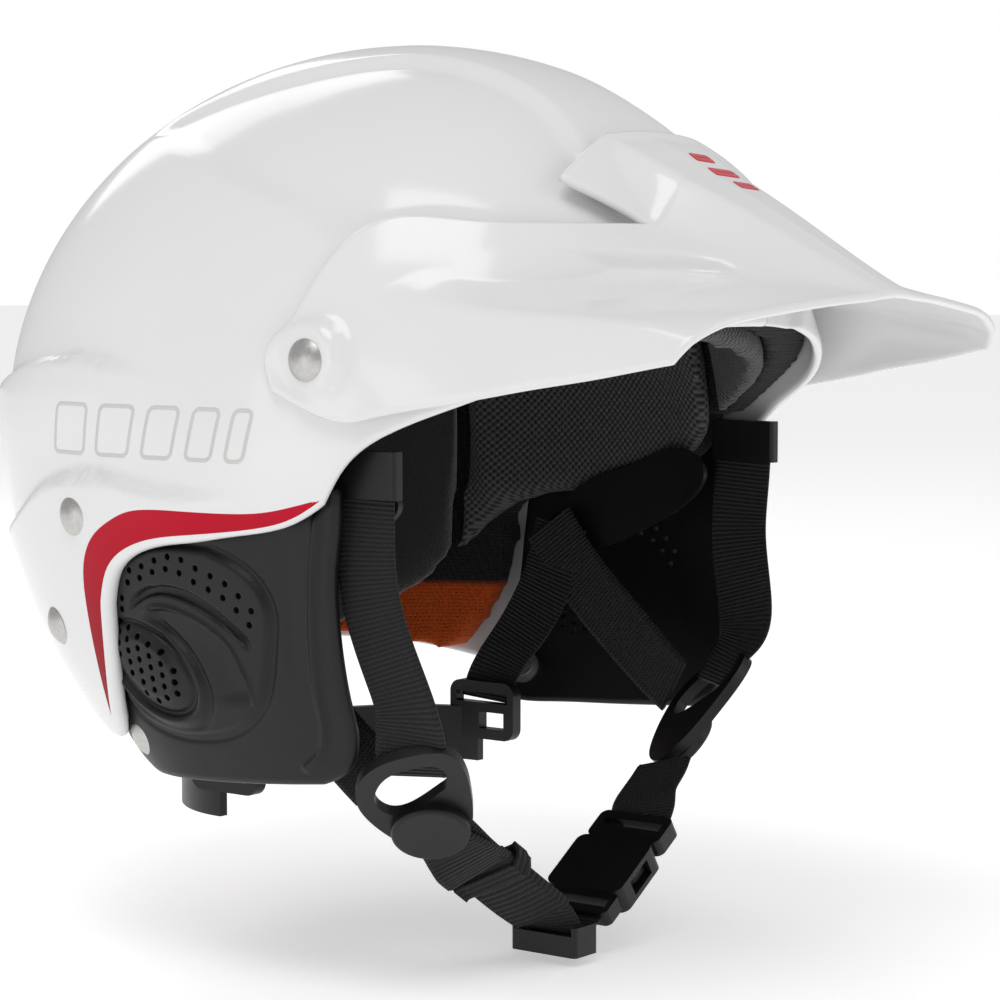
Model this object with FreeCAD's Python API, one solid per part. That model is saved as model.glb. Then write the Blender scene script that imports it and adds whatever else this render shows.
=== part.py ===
"""Whitewater helmet: hard shell, visor, ear guards, foam liner, pads and four-point webbing harness.

Millimetres.  +Z is up, the wearer faces -Y, and the wearer's left is +X.  The origin is the midpoint
of the visor's pivot axis, which runs along X through the temples.
"""
import FreeCAD, Part
import math
import os

Vector = FreeCAD.Vector

# Driving dimensions of the dome.
HALF_WIDTH = 112.0
HALF_LENGTH = 122.0
CROWN_HEIGHT = 114.5
CENTRE_Y = 48.5
EQUATOR_Z = -23.5
PLAN_POWER = 2.4
PLAN_POINTS = 24
FLANK_TUCK = 0.10
NAPE_START_Z = -30.0
NAPE_DROP = 82.0
NAPE_TUCK = 48.0
DOME_BOTTOM_Z = -124.0

# Layers, as offsets from the outside of the shell.
SHELL_WALL = 3.0
BELT_PROUD = 2.6
GUARD_OUTSIDE = -3.4
GUARD_WALL = 3.4
LINER_INSIDE = -16.0
PAD_OUTSIDE = -16.5
PAD_INSIDE = -24.0

# Visor.
VISOR_GAP = 0.8
VISOR_WALL = 2.5
VISOR_UP_DEG = 3.0
VISOR_DOWN_DEG = 6.0
PIVOT_SEAT_X = 105.0
PIVOT_PAD_X = 98.4
WASHER_WALL = 0.8
BOSS_RADIUS = 9.5
BOSS_WALL = 3.0

# Fasteners.
RIVET_CAP_RADIUS = 5.8
RIVET_CAP_HEIGHT = 2.4
RIVET_SHANK_RADIUS = 2.5
RIVET_HOLE_RADIUS = 2.56

# Webbing and its hardware.
WEBBING_WIDTH = 20.0
WEBBING_THICKNESS = 1.6

os.makedirs("parts", exist_ok=True)


def save(shape, node):
    """Write one sub-part as its own file."""
    shape.exportStep("parts/" + node + ".step")


def mirrored(shape):
    """The wearer's left-hand twin of a right-hand shape."""
    return shape.mirror(Vector(0, 0, 0), Vector(1, 0, 0))


def both_sides(shape):
    """A shape and its twin as one group of separate solids."""
    return Part.makeCompound([shape, mirrored(shape)])


# ---------------------------------------------------------------- dome layers

def signed_power(value, power):
    return math.copysign(abs(value) ** power, value)


def plan_wire(half_x, front_y, rear_y, z):
    """One level of the dome: a superellipse with its own front and rear lengths."""
    points = []
    for i in range(PLAN_POINTS):
        angle = 2 * math.pi * (i + 0.5) / PLAN_POINTS
        x = half_x * signed_power(math.cos(angle), 2 / PLAN_POWER)
        reach = rear_y if math.sin(angle) > 0 else front_y
        y = CENTRE_Y + reach * signed_power(math.sin(angle), 2 / PLAN_POWER)
        points.append(Vector(x, y, z))
    curve = Part.BSplineCurve()
    curve.interpolate(Points=points, PeriodicFlag=True)
    return Part.Wire(curve.toShape())


def dome(offset):
    """Solid dome whose surface is the shell's outside moved out by an offset."""
    wires = []
    for z in (DOME_BOTTOM_Z, -106, -88, -70, -52, -36):
        below = EQUATOR_Z - z
        half_x = HALF_WIDTH * (1 - FLANK_TUCK * (below / 90.0) ** 2) + offset
        front_y = HALF_LENGTH - 0.03 * below + offset
        tuck = max(0.0, (NAPE_START_Z - z) / NAPE_DROP) ** 2.2
        rear_y = HALF_LENGTH - NAPE_TUCK * tuck + offset
        wires.append(plan_wire(half_x, front_y, rear_y, z))
    for degrees in (0, 16, 32, 46, 58, 68, 77, 84):
        angle = math.radians(degrees)
        scale = math.cos(angle)
        level = EQUATOR_Z + (CROWN_HEIGHT + offset) * math.sin(angle)
        half_x = (HALF_WIDTH + offset) * scale
        half_y = (HALF_LENGTH + offset) * scale
        wires.append(plan_wire(half_x, half_y, half_y, level))
    return Part.makeLoft(wires, True, False)


def side_prism(runs, x_low=-140.0, x_high=140.0):
    """Extrude a side-view outline along X.  Each run of two points is straight, longer ones are curved."""
    edges = []
    for run in runs:
        points = [Vector(x_low, y, z) for y, z in run]
        if len(points) == 2:
            edges.append(Part.makeLine(points[0], points[1]))
            continue
        curve = Part.BSplineCurve()
        curve.interpolate(Points=points)
        edges.append(curve.toShape())
    face = Part.Face(Part.Wire(edges))
    return face.extrude(Vector(x_high - x_low, 0, 0))


def polygon_prism(points, x_low=-140.0, x_high=140.0):
    """Extrude a straight-sided side-view outline along X."""
    corners = [Vector(x_low, y, z) for y, z in points]
    face = Part.Face(Part.makePolygon(corners + [corners[0]]))
    return face.extrude(Vector(x_high - x_low, 0, 0))


def x_cylinder(radius, x_low, x_high, y=0.0, z=0.0):
    return Part.makeCylinder(radius, x_high - x_low, Vector(x_low, y, z), Vector(1, 0, 0))


# The rim of the shell in side view: brow, temple, ear arch, and the tail beside the nape.
BROW_EDGE = [(-90, 17), (-70, 9), (-44, -8), (-25, -17), (-9, -28), (-2, -39.5)]
EAR_EDGE = [(-2, -39.5), (5.8, -44.2), (18.3, -47.6), (42.6, -50.5), (62, -54.6), (71.5, -61), (76.2, -72)]
TAIL_EDGE = [(76.2, -72), (78.2, -92), (80.5, -105.5)]
TAIL_TIP = [(80.5, -105.5), (84.5, -110.5), (91, -108)]
NAPE_EDGE = [(91, -108), (120, -101), (190, -98)]


def shell_profile():
    back = [(190, -98), (190, 120)]
    top = [(190, 120), (-90, 120)]
    front = [(-90, 120), (-90, 17)]
    return side_prism([BROW_EDGE, EAR_EDGE, TAIL_EDGE, TAIL_TIP, NAPE_EDGE, back, top, front])


def belt_profiles():
    """The two proud bands round the back of the head, one below the other."""
    upper_edge = [(200, -20), (144, -10), (117.5, -3.5), (98, -0.6), (82, 0), (68, -2), (50, -6)]
    upper_foot = [(50, -6), (70, -10), (92, -17), (112, -30), (130, -44), (200, -62)]
    upper = side_prism([upper_edge, upper_foot, [(200, -62), (200, -20)]])
    lower_edge = [(200, -68), (117, -47), (102, -37), (85, -33.5), (71, -33), (54.5, -36), (26, -38)]
    lower = side_prism([lower_edge, [(26, -38), (26, -125)], [(26, -125), (200, -125)],
                        [(200, -125), (200, -68)]])
    return upper, lower


# ---------------------------------------------------------------- fasteners

# Low rivets in the shell (y, z), and the eyelet at each guard's rear bottom corner.
UPPER_RIVET = (87.0, -46.0)
LOWER_RIVET = (104.0, -80.0)
GUARD_RIVET = (77.3, -111.6)


def surface_frame(y, z, offset):
    """Point and outward normal on the right-hand flank of the dome at a given height and station."""
    def flank_x(station, level):
        below = max(0.0, EQUATOR_Z - level)
        above = max(0.0, level - EQUATOR_Z)
        half_x = HALF_WIDTH * (1 - FLANK_TUCK * (below / 90.0) ** 2) + offset
        tuck = max(0.0, (NAPE_START_Z - level) / NAPE_DROP) ** 2.2
        half_y = HALF_LENGTH + offset
        if station > CENTRE_Y:
            half_y -= NAPE_TUCK * tuck
        shrink = math.sqrt(1 - (above / (CROWN_HEIGHT + offset)) ** 2)
        ratio = abs(station - CENTRE_Y) / (half_y * shrink)
        return half_x * shrink * (1 - ratio ** PLAN_POWER) ** (1 / PLAN_POWER)
    step = 0.5
    x = flank_x(y, z)
    slope_y = (flank_x(y + step, z) - flank_x(y - step, z)) / (2 * step)
    slope_z = (flank_x(y, z + step) - flank_x(y, z - step)) / (2 * step)
    normal = Vector(-1, -slope_y, -slope_z)
    normal.normalize()
    return Vector(-x, y, z), normal


def domed_cap(radius, height, seat, axis):
    """A shallow dome on a flat seat."""
    sphere_radius = (radius ** 2 + height ** 2) / (2 * height)
    centre = seat - axis * (sphere_radius - height)
    ball = Part.makeSphere(sphere_radius, centre)
    return ball.common(Part.makeCylinder(radius, height + 1, seat, axis))


def rivet(seat, axis, length):
    """Domed cap with its shank and a small inner flare."""
    shank = Part.makeCylinder(RIVET_SHANK_RADIUS, length, seat - axis * length, axis)
    return domed_cap(RIVET_CAP_RADIUS, RIVET_CAP_HEIGHT, seat, axis).fuse(shank)


def spot_face(frame, radius, depth):
    """Cylinder standing outwards from a point, used to cut a flat seat."""
    point, normal = frame
    return Part.makeCylinder(radius, 20, point - normal * depth, normal)


def through_hole(frame, radius, inwards=30.0):
    point, normal = frame
    return Part.makeCylinder(radius, inwards + 20, point - normal * inwards, normal)


# ---------------------------------------------------------------- shell

def build_shell(outside, inside):
    profile = shell_profile()
    wall = outside.cut(inside).common(profile)
    belt_outside = dome(BELT_PROUD)
    core = dome(-SHELL_WALL / 2)
    upper, lower = belt_profiles()
    for band in (upper, lower):
        wall = wall.fuse(belt_outside.cut(core).common(band).common(profile))
    for sign in (-1, 1):
        seat_cut = x_cylinder(BOSS_RADIUS + 1.2, PIVOT_SEAT_X, PIVOT_SEAT_X + 20)
        pad = x_cylinder(BOSS_RADIUS - 0.5, PIVOT_PAD_X, PIVOT_SEAT_X)
        hole = x_cylinder(RIVET_HOLE_RADIUS, PIVOT_SEAT_X - 30, PIVOT_SEAT_X + 30)
        if sign < 0:
            seat_cut, pad, hole = mirrored(seat_cut), mirrored(pad), mirrored(hole)
        wall = wall.fuse(pad).cut(seat_cut).cut(hole)
    for place in (UPPER_RIVET, LOWER_RIVET):
        frame = surface_frame(*place, BELT_PROUD)
        seat_cut = spot_face(frame, RIVET_CAP_RADIUS + 0.4, 0.8)
        hole = through_hole(frame, RIVET_HOLE_RADIUS)
        for cutter in (seat_cut, hole):
            wall = wall.cut(cutter).cut(mirrored(cutter))
    return wall.removeSplitter()


# ---------------------------------------------------------------- visor

# Stations of the visor's brim: distance along Y, edge height, centre height, half-width.
VISOR_STATIONS = (
    (30, -4, 78, 112),
    (-12, -16, 60, 103.5),
    (-45, -8.6, 45, 95),
    (-75, -3.5, 33.5, 89.5),
    (-100, 1, 23.5, 85.8),
    (-122, 4, 15.5, 82.5),
)
# Stations of the raised centre: distance along Y, then half-outline points (x, z) from the middle out.
HUMP_STATIONS = (
    (-35.4, ((22, 61.0), (37, 55), (46, 47))),
    (-57, ((24, 49.6), (33, 45), (39, 38))),
    (-85, ((30, 33.6), (40, 30), (48, 25))),
    (-122, ((38, 13.4), (47, 11), (54, 8))),
)


def brim_solid(inset):
    """Everything under the brim's outer skin, moved in by an inset."""
    wires = []
    for y, edge_z, top_z, half_x in VISOR_STATIONS:
        points = []
        for i in range(15):
            angle = math.pi * i / 14
            x = (half_x - inset) * signed_power(math.cos(angle), 0.8)
            z = edge_z + (top_z - inset - edge_z) * math.sin(angle) ** 0.8
            points.append(Vector(x, y, z))
        curve = Part.BSplineCurve()
        curve.interpolate(Points=points)
        low = -60.0
        corner_a = Vector(-(half_x - inset), y, low)
        corner_b = Vector(half_x - inset, y, low)
        wires.append(Part.Wire([
            curve.toShape(),
            Part.makeLine(points[-1], corner_a),
            Part.makeLine(corner_a, corner_b),
            Part.makeLine(corner_b, points[0]),
        ]))
    return Part.makeLoft(wires, True, False)


def hump_solid(inset):
    """Everything under the raised centre's outer skin, moved in by an inset."""
    wires = []
    for y, outline in HUMP_STATIONS:
        top = outline[0][1] + 0.4 - inset
        half = [(max(x - inset, 1.0), z - inset) for x, z in outline]
        left = [Vector(-x, y, z) for x, z in reversed(half)]
        right = [Vector(x, y, z) for x, z in half]
        curve = Part.BSplineCurve()
        curve.interpolate(Points=left + [Vector(0, y, top)] + right)
        low = -20.0
        corner_a = Vector(right[-1].x, y, low)
        corner_b = Vector(left[0].x, y, low)
        wires.append(Part.Wire([
            curve.toShape(),
            Part.makeLine(right[-1], corner_a),
            Part.makeLine(corner_a, corner_b),
            Part.makeLine(corner_b, left[0]),
        ]))
    return Part.makeLoft(wires, True, False)


def visor_plan():
    """The brim's front edge seen from above: a shallow bow with a stepped corner each side."""
    bow = [(45, -110.5), (0, -118), (-45, -110.5)]
    curve = Part.BSplineCurve()
    curve.interpolate(Points=[Vector(x, y, -80) for x, y in bow])
    corners = [(-45, -110.5), (-78.6, -104), (-84.5, -100.5), (-100, -95), (-140, 0), (-140, 40),
               (140, 40), (140, 0), (100, -95), (84.5, -100.5), (78.6, -104), (45, -110.5)]
    rest = Part.makePolygon([Vector(x, y, -80) for x, y in corners])
    face = Part.Face(Part.Wire([curve.toShape()] + rest.Edges))
    return face.extrude(Vector(0, 0, 200))


def build_visor():
    skin = brim_solid(0).fuse(hump_solid(0)).cut(brim_solid(VISOR_WALL).fuse(hump_solid(VISOR_WALL)))
    brim_side = polygon_prism([(-14, -15.4), (-19, -14), (-46, -8.6), (-72, -4), (-97, 0.3), (-101, 1.5),
                               (-106, 7), (-130, 11), (-130, 90), (-35.4, 90), (-35.4, 44), (-14, 44)])
    skin = skin.common(brim_side).common(visor_plan())
    arm_runs = [
        [(-26, -12.7), (-19, -14), (-11, -16.2), (-5, -14.6), (3, -11), (9.5, -8.6)],
        [(9.5, -8.6), (13.3, -4), (13.8, 2), (6.4, 10.5)],
        [(6.4, 10.5), (-1.8, 22.6), (-8.5, 35)],
        [(-8.5, 35), (-13, 38), (-26, 37)],
        [(-26, 37), (-26, -12.7)],
    ]
    arm_skin = dome(VISOR_GAP + VISOR_WALL).cut(dome(VISOR_GAP))
    visor = skin.fuse(arm_skin.common(side_prism(arm_runs)))
    clear = dome(VISOR_GAP)
    for degrees in (-VISOR_DOWN_DEG, -VISOR_DOWN_DEG / 2, 0, VISOR_UP_DEG):
        turned = clear.copy()
        turned.rotate(Vector(0, 0, 0), Vector(1, 0, 0), degrees)
        visor = visor.cut(turned)
    inner = PIVOT_SEAT_X + WASHER_WALL + 0.2
    boss = x_cylinder(BOSS_RADIUS, inner, inner + BOSS_WALL)
    room = x_cylinder(BOSS_RADIUS, PIVOT_SEAT_X - 20, PIVOT_SEAT_X + 20)
    hole = x_cylinder(RIVET_HOLE_RADIUS, PIVOT_SEAT_X - 20, PIVOT_SEAT_X + 20)
    for cutter in (room, mirrored(room)):
        visor = visor.cut(cutter)
    for piece in (boss, mirrored(boss)):
        visor = visor.fuse(piece)
    visor = visor.cut(hole).cut(mirrored(hole))
    solids = sorted(visor.Solids, key=lambda solid: solid.Volume)
    return solids[-1].removeSplitter()


# ---------------------------------------------------------------- foam and pads

POCKET_RADIUS = 10.5
POCKET_DEPTH = 10.5


def build_liner(outside):
    rim = [(-90, 20), (-60, 12), (-40, -2), (-22, -12), (-6, -22), (6, -34), (28, -43), (62, -47),
           (84, -58)]
    tail = [(84, -58), (88, -90), (96, -104)]
    nape = [(96, -104), (120, -97), (190, -93)]
    frame = [[(190, -93), (190, 120)], [(190, 120), (-90, 120)], [(-90, 120), (-90, 20)]]
    profile = side_prism([rim, tail, nape] + frame)
    liner = outside.cut(dome(LINER_INSIDE)).common(profile)
    guard_room = dome(0).cut(dome(GUARD_OUTSIDE - GUARD_WALL - 0.4))
    liner = liner.cut(guard_room.common(polygon_prism([(-8, -30), (96, -30), (96, -125), (-8, -125)])))
    # Slots let the visor's rivet ends and the harness rivet ends sit inside the foam.
    for y, z in ((0.0, 0.0), UPPER_RIVET, LOWER_RIVET):
        point, normal = surface_frame(y, z, 0)
        axis = Vector(-1, 0, 0) if (y, z) == (0.0, 0.0) else normal
        pocket = Part.makeCylinder(POCKET_RADIUS, 20, point - axis * POCKET_DEPTH, axis)
        liner = liner.cut(pocket).cut(mirrored(pocket))
    solids = sorted(liner.Solids, key=lambda solid: solid.Volume)
    return solids[-1].removeSplitter()


def build_pads():
    layer = dome(PAD_OUTSIDE).cut(dome(PAD_INSIDE))
    gap = 1.5
    crown_z = 56.0
    brow_y = -4.0
    rear_y = 98.0
    brow = [(-120, 16), (-60, 10), (-38, -6), (-20, -16), (brow_y, -24)]
    brow_pad = layer.common(side_prism(
        [brow, [(brow_y, -24), (brow_y, crown_z)], [(brow_y, crown_z), (-120, crown_z)],
         [(-120, crown_z), (-120, 16)]]))
    side_edge = [(brow_y + gap, -26), (14, -42), (38, -50), (66, -54), (rear_y - gap, -72)]
    side_low = brow_y + gap
    side_high = rear_y - gap
    side = layer.common(side_prism(
        [side_edge, [(side_high, -72), (side_high, crown_z)], [(side_high, crown_z), (side_low, crown_z)],
         [(side_low, crown_z), (side_low, -26)]]))
    rear_edge = [(rear_y, -74), (112, -92), (200, -92)]
    rear_pad = layer.common(side_prism(
        [rear_edge, [(200, -92), (200, crown_z)], [(200, crown_z), (rear_y, crown_z)],
         [(rear_y, crown_z), (rear_y, -74)]]))
    crown_pad = layer.common(Part.makeBox(400, 400, 100, Vector(-200, -150, crown_z + gap)))
    right = side.common(Part.makeBox(200, 400, 400, Vector(-200 - gap / 2, -150, -200)))
    return brow_pad, right, rear_pad, crown_pad


# ---------------------------------------------------------------- ear guards

GUARD_HUB = (58.5, -88.5)
GUARD_OVAL = (47.0, -80.0)
GUARD_OVAL_SIZE = (32.0, 27.0)
SOUND_HOLE_RADIUS = 0.95


def build_guard():
    runs = [
        [(-2, -40), (-1.4, -50), (0, -67), (-0.6, -90), (-1.6, -104)],
        [(-1.6, -104), (-0.5, -110), (6, -112.5)],
        [(6, -112.5), (9, -117)],
        [(9, -117), (72, -117)],
        [(72, -117), (80, -117.5), (85.5, -113), (86, -106)],
        [(86, -106), (84, -98), (82, -84), (82, -70)],
        [(82, -70), (82, -41)],
        [(82, -41), (-2, -40)],
    ]
    outline = side_prism(runs, -140.0, 0.0)
    inner_offset = GUARD_OUTSIDE - GUARD_WALL
    wall = dome(GUARD_OUTSIDE).cut(dome(inner_offset)).common(outline)
    # A flat seat for the eyelet.
    frame = surface_frame(*GUARD_RIVET, GUARD_OUTSIDE)
    seat = spot_face(frame, RIVET_CAP_RADIUS + 0.3, 0.9)
    wall = wall.cut(seat).cut(through_hole(frame, RIVET_HOLE_RADIUS, 12.0))
    # Sound holes: rings on the hub's dome and two arcs over the top and back of the oval.
    places = []
    for ring, count in ((4.0, 6), (8.0, 11)):
        for i in range(count):
            angle = 2 * math.pi * i / count
            y = GUARD_HUB[0] + 1.25 * ring * math.cos(angle)
            places.append((y, GUARD_HUB[1] + ring * math.sin(angle)))
    for reach, count in ((0.72, 11), (0.86, 13)):
        for i in range(count):
            angle = math.radians(10 + 130 * i / (count - 1))
            y = GUARD_OVAL[0] + GUARD_OVAL_SIZE[0] * reach * math.cos(angle)
            places.append((y, GUARD_OVAL[1] + GUARD_OVAL_SIZE[1] * reach * math.sin(angle)))
    drills = [x_cylinder(SOUND_HOLE_RADIUS, -130, -60, y, z) for y, z in places]
    wall = wall.cut(Part.makeCompound(drills))
    solids = sorted(wall.Solids, key=lambda solid: solid.Volume)
    return solids[-1]


# ---------------------------------------------------------------- webbing

def unit(x, y, z):
    vector = Vector(x, y, z)
    vector.normalize()
    return vector


def webbing(path, width=WEBBING_WIDTH, thickness=WEBBING_THICKNESS):
    """Loft a flat strap through stations, each a centre point and a width direction."""
    wires = []
    for i, (centre, across) in enumerate(path):
        before = path[max(i - 1, 0)][0]
        after = path[min(i + 1, len(path) - 1)][0]
        along = Vector(*after) - Vector(*before)
        along.normalize()
        side = Vector(*across)
        side = side - along * side.dot(along)
        side.normalize()
        normal = along.cross(side)
        middle = Vector(*centre)
        corners = []
        for a, b in ((-1, -1), (1, -1), (1, 1), (-1, 1)):
            corners.append(middle + side * (a * width / 2) + normal * (b * thickness / 2))
        wires.append(Part.makePolygon(corners + [corners[0]]))
    return Part.makeLoft(wires, True, len(path) == 2)


def local_frame(origin, along, across):
    """Placement whose X runs along, Y runs across and Z is their normal."""
    x_axis = unit(*along)
    y_axis = Vector(*across) - x_axis * Vector(*across).dot(x_axis)
    y_axis.normalize()
    z_axis = x_axis.cross(y_axis)
    rotation = FreeCAD.Rotation(x_axis, y_axis, z_axis, "XYZ")
    return FreeCAD.Placement(Vector(*origin), rotation)


def placed(shape, frame):
    shape = shape.copy()
    shape.transformShape(frame.toMatrix())
    return shape


def slab(x_low, x_high, y_low, y_high, z_low, z_high):
    return Part.makeBox(x_high - x_low, y_high - y_low, z_high - z_low, Vector(x_low, y_low, z_low))


def rounded_slab(length, width, thickness, radius):
    """Plate centred on the origin with rounded corners in plan."""
    box = slab(-length / 2, length / 2, -width / 2, width / 2, -thickness / 2, thickness / 2)
    upright = [e for e in box.Edges if abs(e.tangentAt(e.FirstParameter).z) > 0.99]
    return box.makeFillet(radius, upright)


# Side ring: X runs from the cap up to the front strap, Y across the strap towards the rear.
RIGHT_RING_ORIGIN = Vector(-68.0, -10.1, -129.7)
LEFT_RING_ORIGIN = Vector(64.0, -4.0, -122.4)
RING_ALONG = (-0.79, 0.13, 0.60)
RING_ACROSS = (-0.18, 0.88, -0.44)
RING_WALL = 3.4
CAP_RADIUS = 11.2
CAP_WALL = 3.2


def flat_plate(outline, wall):
    """Smooth closed outline given a thickness, centred on the XY plane."""
    curve = Part.BSplineCurve()
    curve.interpolate(Points=[Vector(x, y, -wall / 2) for x, y in outline], PeriodicFlag=True)
    return Part.Face(Part.Wire(curve.toShape())).extrude(Vector(0, 0, wall))


def ring_shape():
    """Three-way ring: a rounded triangle with one window for the straps and a seat for the cap."""
    outline = [(-11.5, 0), (-7.5, -8), (5, -17.5), (15.3, -22.5), (23.5, -22.8), (28.5, -15), (30.3, -4),
               (27, 5), (20, 10.5), (10, 12.3), (1, 11.5), (-7.5, 8)]
    window = [(11.5, -12.5), (14.5, -16.5), (20.5, -17.3), (23.8, -12), (25, -4), (22, 2.5),
              (16, 6.5), (12, 6)]
    return flat_plate(outline, RING_WALL).cut(flat_plate(window, RING_WALL + 2))


def ring_cap_shape():
    """Low round cap with a softened rim, seated on the ring's outer face."""
    seat = RING_WALL / 2 + 0.05
    disc = Part.makeCylinder(CAP_RADIUS, CAP_WALL, Vector(0, 0, seat))
    rim = [edge for edge in disc.Edges if edge.Closed and edge.Vertexes[0].Z > seat + 1]
    return disc.makeFillet(1.2, rim)


# Buckle: X runs from the socket towards the clip, Y across the webbing.
BUCKLE_ORIGIN = (11.0, -15.5, -153.5)
BUCKLE_ALONG = (0.84, 0.0, 0.54)
BUCKLE_ACROSS = (0.0, -1.0, 0.0)
PRONG_PIVOT = (10.0, 8.2)


def buckle_socket_shape():
    body = rounded_slab(22.0, 26.8, 8.4, 3.0)
    body.translate(Vector(-4.0, 0, 0))
    cavity = slab(-10.5, 8, -11.8, 11.8, -2.6, 2.6)
    windows = slab(-8.5, 1.5, -20, 20, -2.6, 2.6)
    neck = slab(-15.5, -13.5, -11, 11, -2.5, 2.5)
    bar = rounded_slab(9.0, 25.0, 5.0, 2.0)
    bar.translate(Vector(-18.0, 0, 0))
    slot = slab(-19.6, -16.6, -10.6, 10.6, -10, 10)
    return body.cut(cavity).cut(windows).fuse(neck).fuse(bar).cut(slot)


def buckle_clip_shape():
    bar = rounded_slab(11.5, 26.0, 5.4, 2.5)
    bar.translate(Vector(14.0, 0, 0))
    slot = slab(13.5, 16.5, -10.6, 10.6, -10, 10)
    tongue = slab(-6, 9, -2.2, 2.2, -1.4, 1.4)
    shoulder = slab(7.6, 9.5, -11.0, 11.0, -2.2, 2.2)
    right_pocket = slab(6, 11.2, 6.0, 10.4, -2.0, 2.0)
    left_pocket = slab(6, 11.2, -10.4, -6.0, -2.0, 2.0)
    return bar.fuse(shoulder).fuse(tongue).cut(slot).cut(right_pocket).cut(left_pocket)


def buckle_prong_shape():
    """One sprung side of the clip, with its thumb pad showing in the socket's window."""
    outline = [(10.4, 7.0), (10.4, 9.4), (4.0, 9.8), (1.0, 11.4), (-4.0, 11.5), (-8.0, 9.6),
               (-8.6, 7.4), (-3.0, 7.0)]
    corners = [Vector(x, y, -1.7) for x, y in outline]
    return Part.Face(Part.makePolygon(corners + [corners[0]])).extrude(Vector(0, 0, 3.4))


# Right half of the chin strap: a padded sleeve, then bare webbing through the lock.
CHIN_ACROSS = (0.18, -0.88, 0.43)
CHIN_ALONG = Vector(0.792, -0.129, -0.597)
SLEEVE_WIDTH = 21.0
SLEEVE_THICKNESS = 4.6
SLEEVE_START = 14.0
SLEEVE_END = 54.0
KEEPER_START = 26.0
KEEPER_WIDTH = 4.5


def on_chin_line(distance):
    point = RIGHT_RING_ORIGIN + CHIN_ALONG * distance
    return (point.x, point.y, point.z)


def build_right_chin_strap():
    sleeve = webbing([(on_chin_line(SLEEVE_START), CHIN_ACROSS), (on_chin_line(SLEEVE_END), CHIN_ACROSS)],
                     SLEEVE_WIDTH, SLEEVE_THICKNESS)
    turn = webbing([
        (on_chin_line(SLEEVE_END - 4), CHIN_ACROSS),
        ((-20.8, -16.6, -165.6), (0.08, -0.97, 0.2)),
        ((-16.6, -16.1, -169.0), (0, -1, 0)),
        ((-13.2, -15.7, -169.2), (0, -1, 0)),
        ((-10.6, -15.5, -167.8), (0, -1, 0)),
    ], 19.4)
    return sleeve.fuse(turn)


def build_keeper():
    """Elastic loop round the sleeve."""
    low = on_chin_line(KEEPER_START)
    high = on_chin_line(KEEPER_START + KEEPER_WIDTH)
    below_low = on_chin_line(KEEPER_START - 2)
    above_high = on_chin_line(KEEPER_START + KEEPER_WIDTH + 2)
    outer = webbing([(low, CHIN_ACROSS), (high, CHIN_ACROSS)], SLEEVE_WIDTH + 3.2, SLEEVE_THICKNESS + 3.2)
    inner = webbing([(below_low, CHIN_ACROSS), (above_high, CHIN_ACROSS)],
                    SLEEVE_WIDTH + 0.8, SLEEVE_THICKNESS + 0.8)
    return outer.cut(inner)


def build_lock():
    """Trough at the strap's lowest point: outer plate, floor and two cheeks."""
    middle = -16.2
    block = slab(-23.9, -12.4, middle - 11.7, middle + 11.7, -174.2, -165.4)
    upright = [e for e in block.Edges if abs(e.tangentAt(e.FirstParameter).z) > 0.99]
    block = block.makeFillet(1.5, upright)
    hollow = slab(-21.9, -8, middle - 10.3, middle + 10.3, -172.2, -160)
    entry = slab(-26, -20, middle - 10.3, middle + 10.3, -168.0, -160)
    return block.cut(hollow).cut(entry)


def build_left_chin_strap():
    """The stub that stays with the left ring, short of the clip's travel."""
    return webbing([((53.5, -6.0, -130.6), (0.1, -0.93, 0.3)), ((45.5, -9.0, -134.6), (0, -0.98, 0.15))])


def build_front_strap():
    return webbing([
        ((-94.5, -9.0, -32.5), (0, -1, 0)),
        ((-94.4, -8.6, -45.0), (0, -1, 0)),
        ((-94.0, -9.5, -62.0), (0, -1, 0.1)),
        ((-91.5, -16.5, -84.0), (0, -0.95, 0.25)),
        ((-88.8, -19.0, -99.0), (0, -0.95, 0.3)),
    ])


def build_rear_strap():
    """Inverted V: one leg to the side ring, one to the nape cradle."""
    ring_leg = webbing([
        ((-80.0, 58.0, -62.0), (0, 0.8, -0.6)),
        ((-80.8, 44.0, -78.0), (0, 0.75, -0.66)),
        ((-80.0, 22.0, -98.0), (0, 0.7, -0.7)),
        ((-78.5, 8.5, -109.5), (0, 0.7, -0.7)),
    ])
    cradle_leg = webbing([
        ((-80.0, 55.0, -62.0), (0, 0.98, 0.2)),
        ((-78.8, 58.0, -78.0), (0, 0.98, 0.2)),
        ((-73.0, 65.0, -96.0), (0, 0.99, 0.12)),
        ((-66.7, 69.2, -105.6), (0, 1, 0)),
    ])
    return ring_leg.fuse(cradle_leg)


def build_strap_anchor():
    """Moulded loop that holds the head of a front strap inside the temple."""
    body = rounded_slab(4.4, 23.0, 13.0, 1.2)
    body.translate(Vector(-94.5, -9.0, -31.0))
    pocket = slab(-95.8, -93.2, -19.6, 1.6, -60, -31.5)
    return body.cut(pocket)


def build_harness_plate():
    """Leaf-shaped plate lying on the inside of the side pad."""
    leaf = [(62, -62), (50, -48), (24, -38), (2, -34), (-6, -40), (2, -50), (24, -61), (48, -68)]
    curve = Part.BSplineCurve()
    curve.interpolate(Points=[Vector(-140, y, z) for y, z in leaf], PeriodicFlag=True)
    outline = Part.Face(Part.Wire(curve.toShape())).extrude(Vector(140, 0, 0))
    return dome(PAD_INSIDE - 0.5).cut(dome(PAD_INSIDE - 2.3)).common(outline)


CRADLE_Y = 73.0
CRADLE_HALF_WIDTH = 64.0
CRADLE_DEPTH = 46.0
CRADLE_WALL = 3.0
CRADLE_LOW_Z = -138.0
CRADLE_HIGH_Z = -120.5


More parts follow.
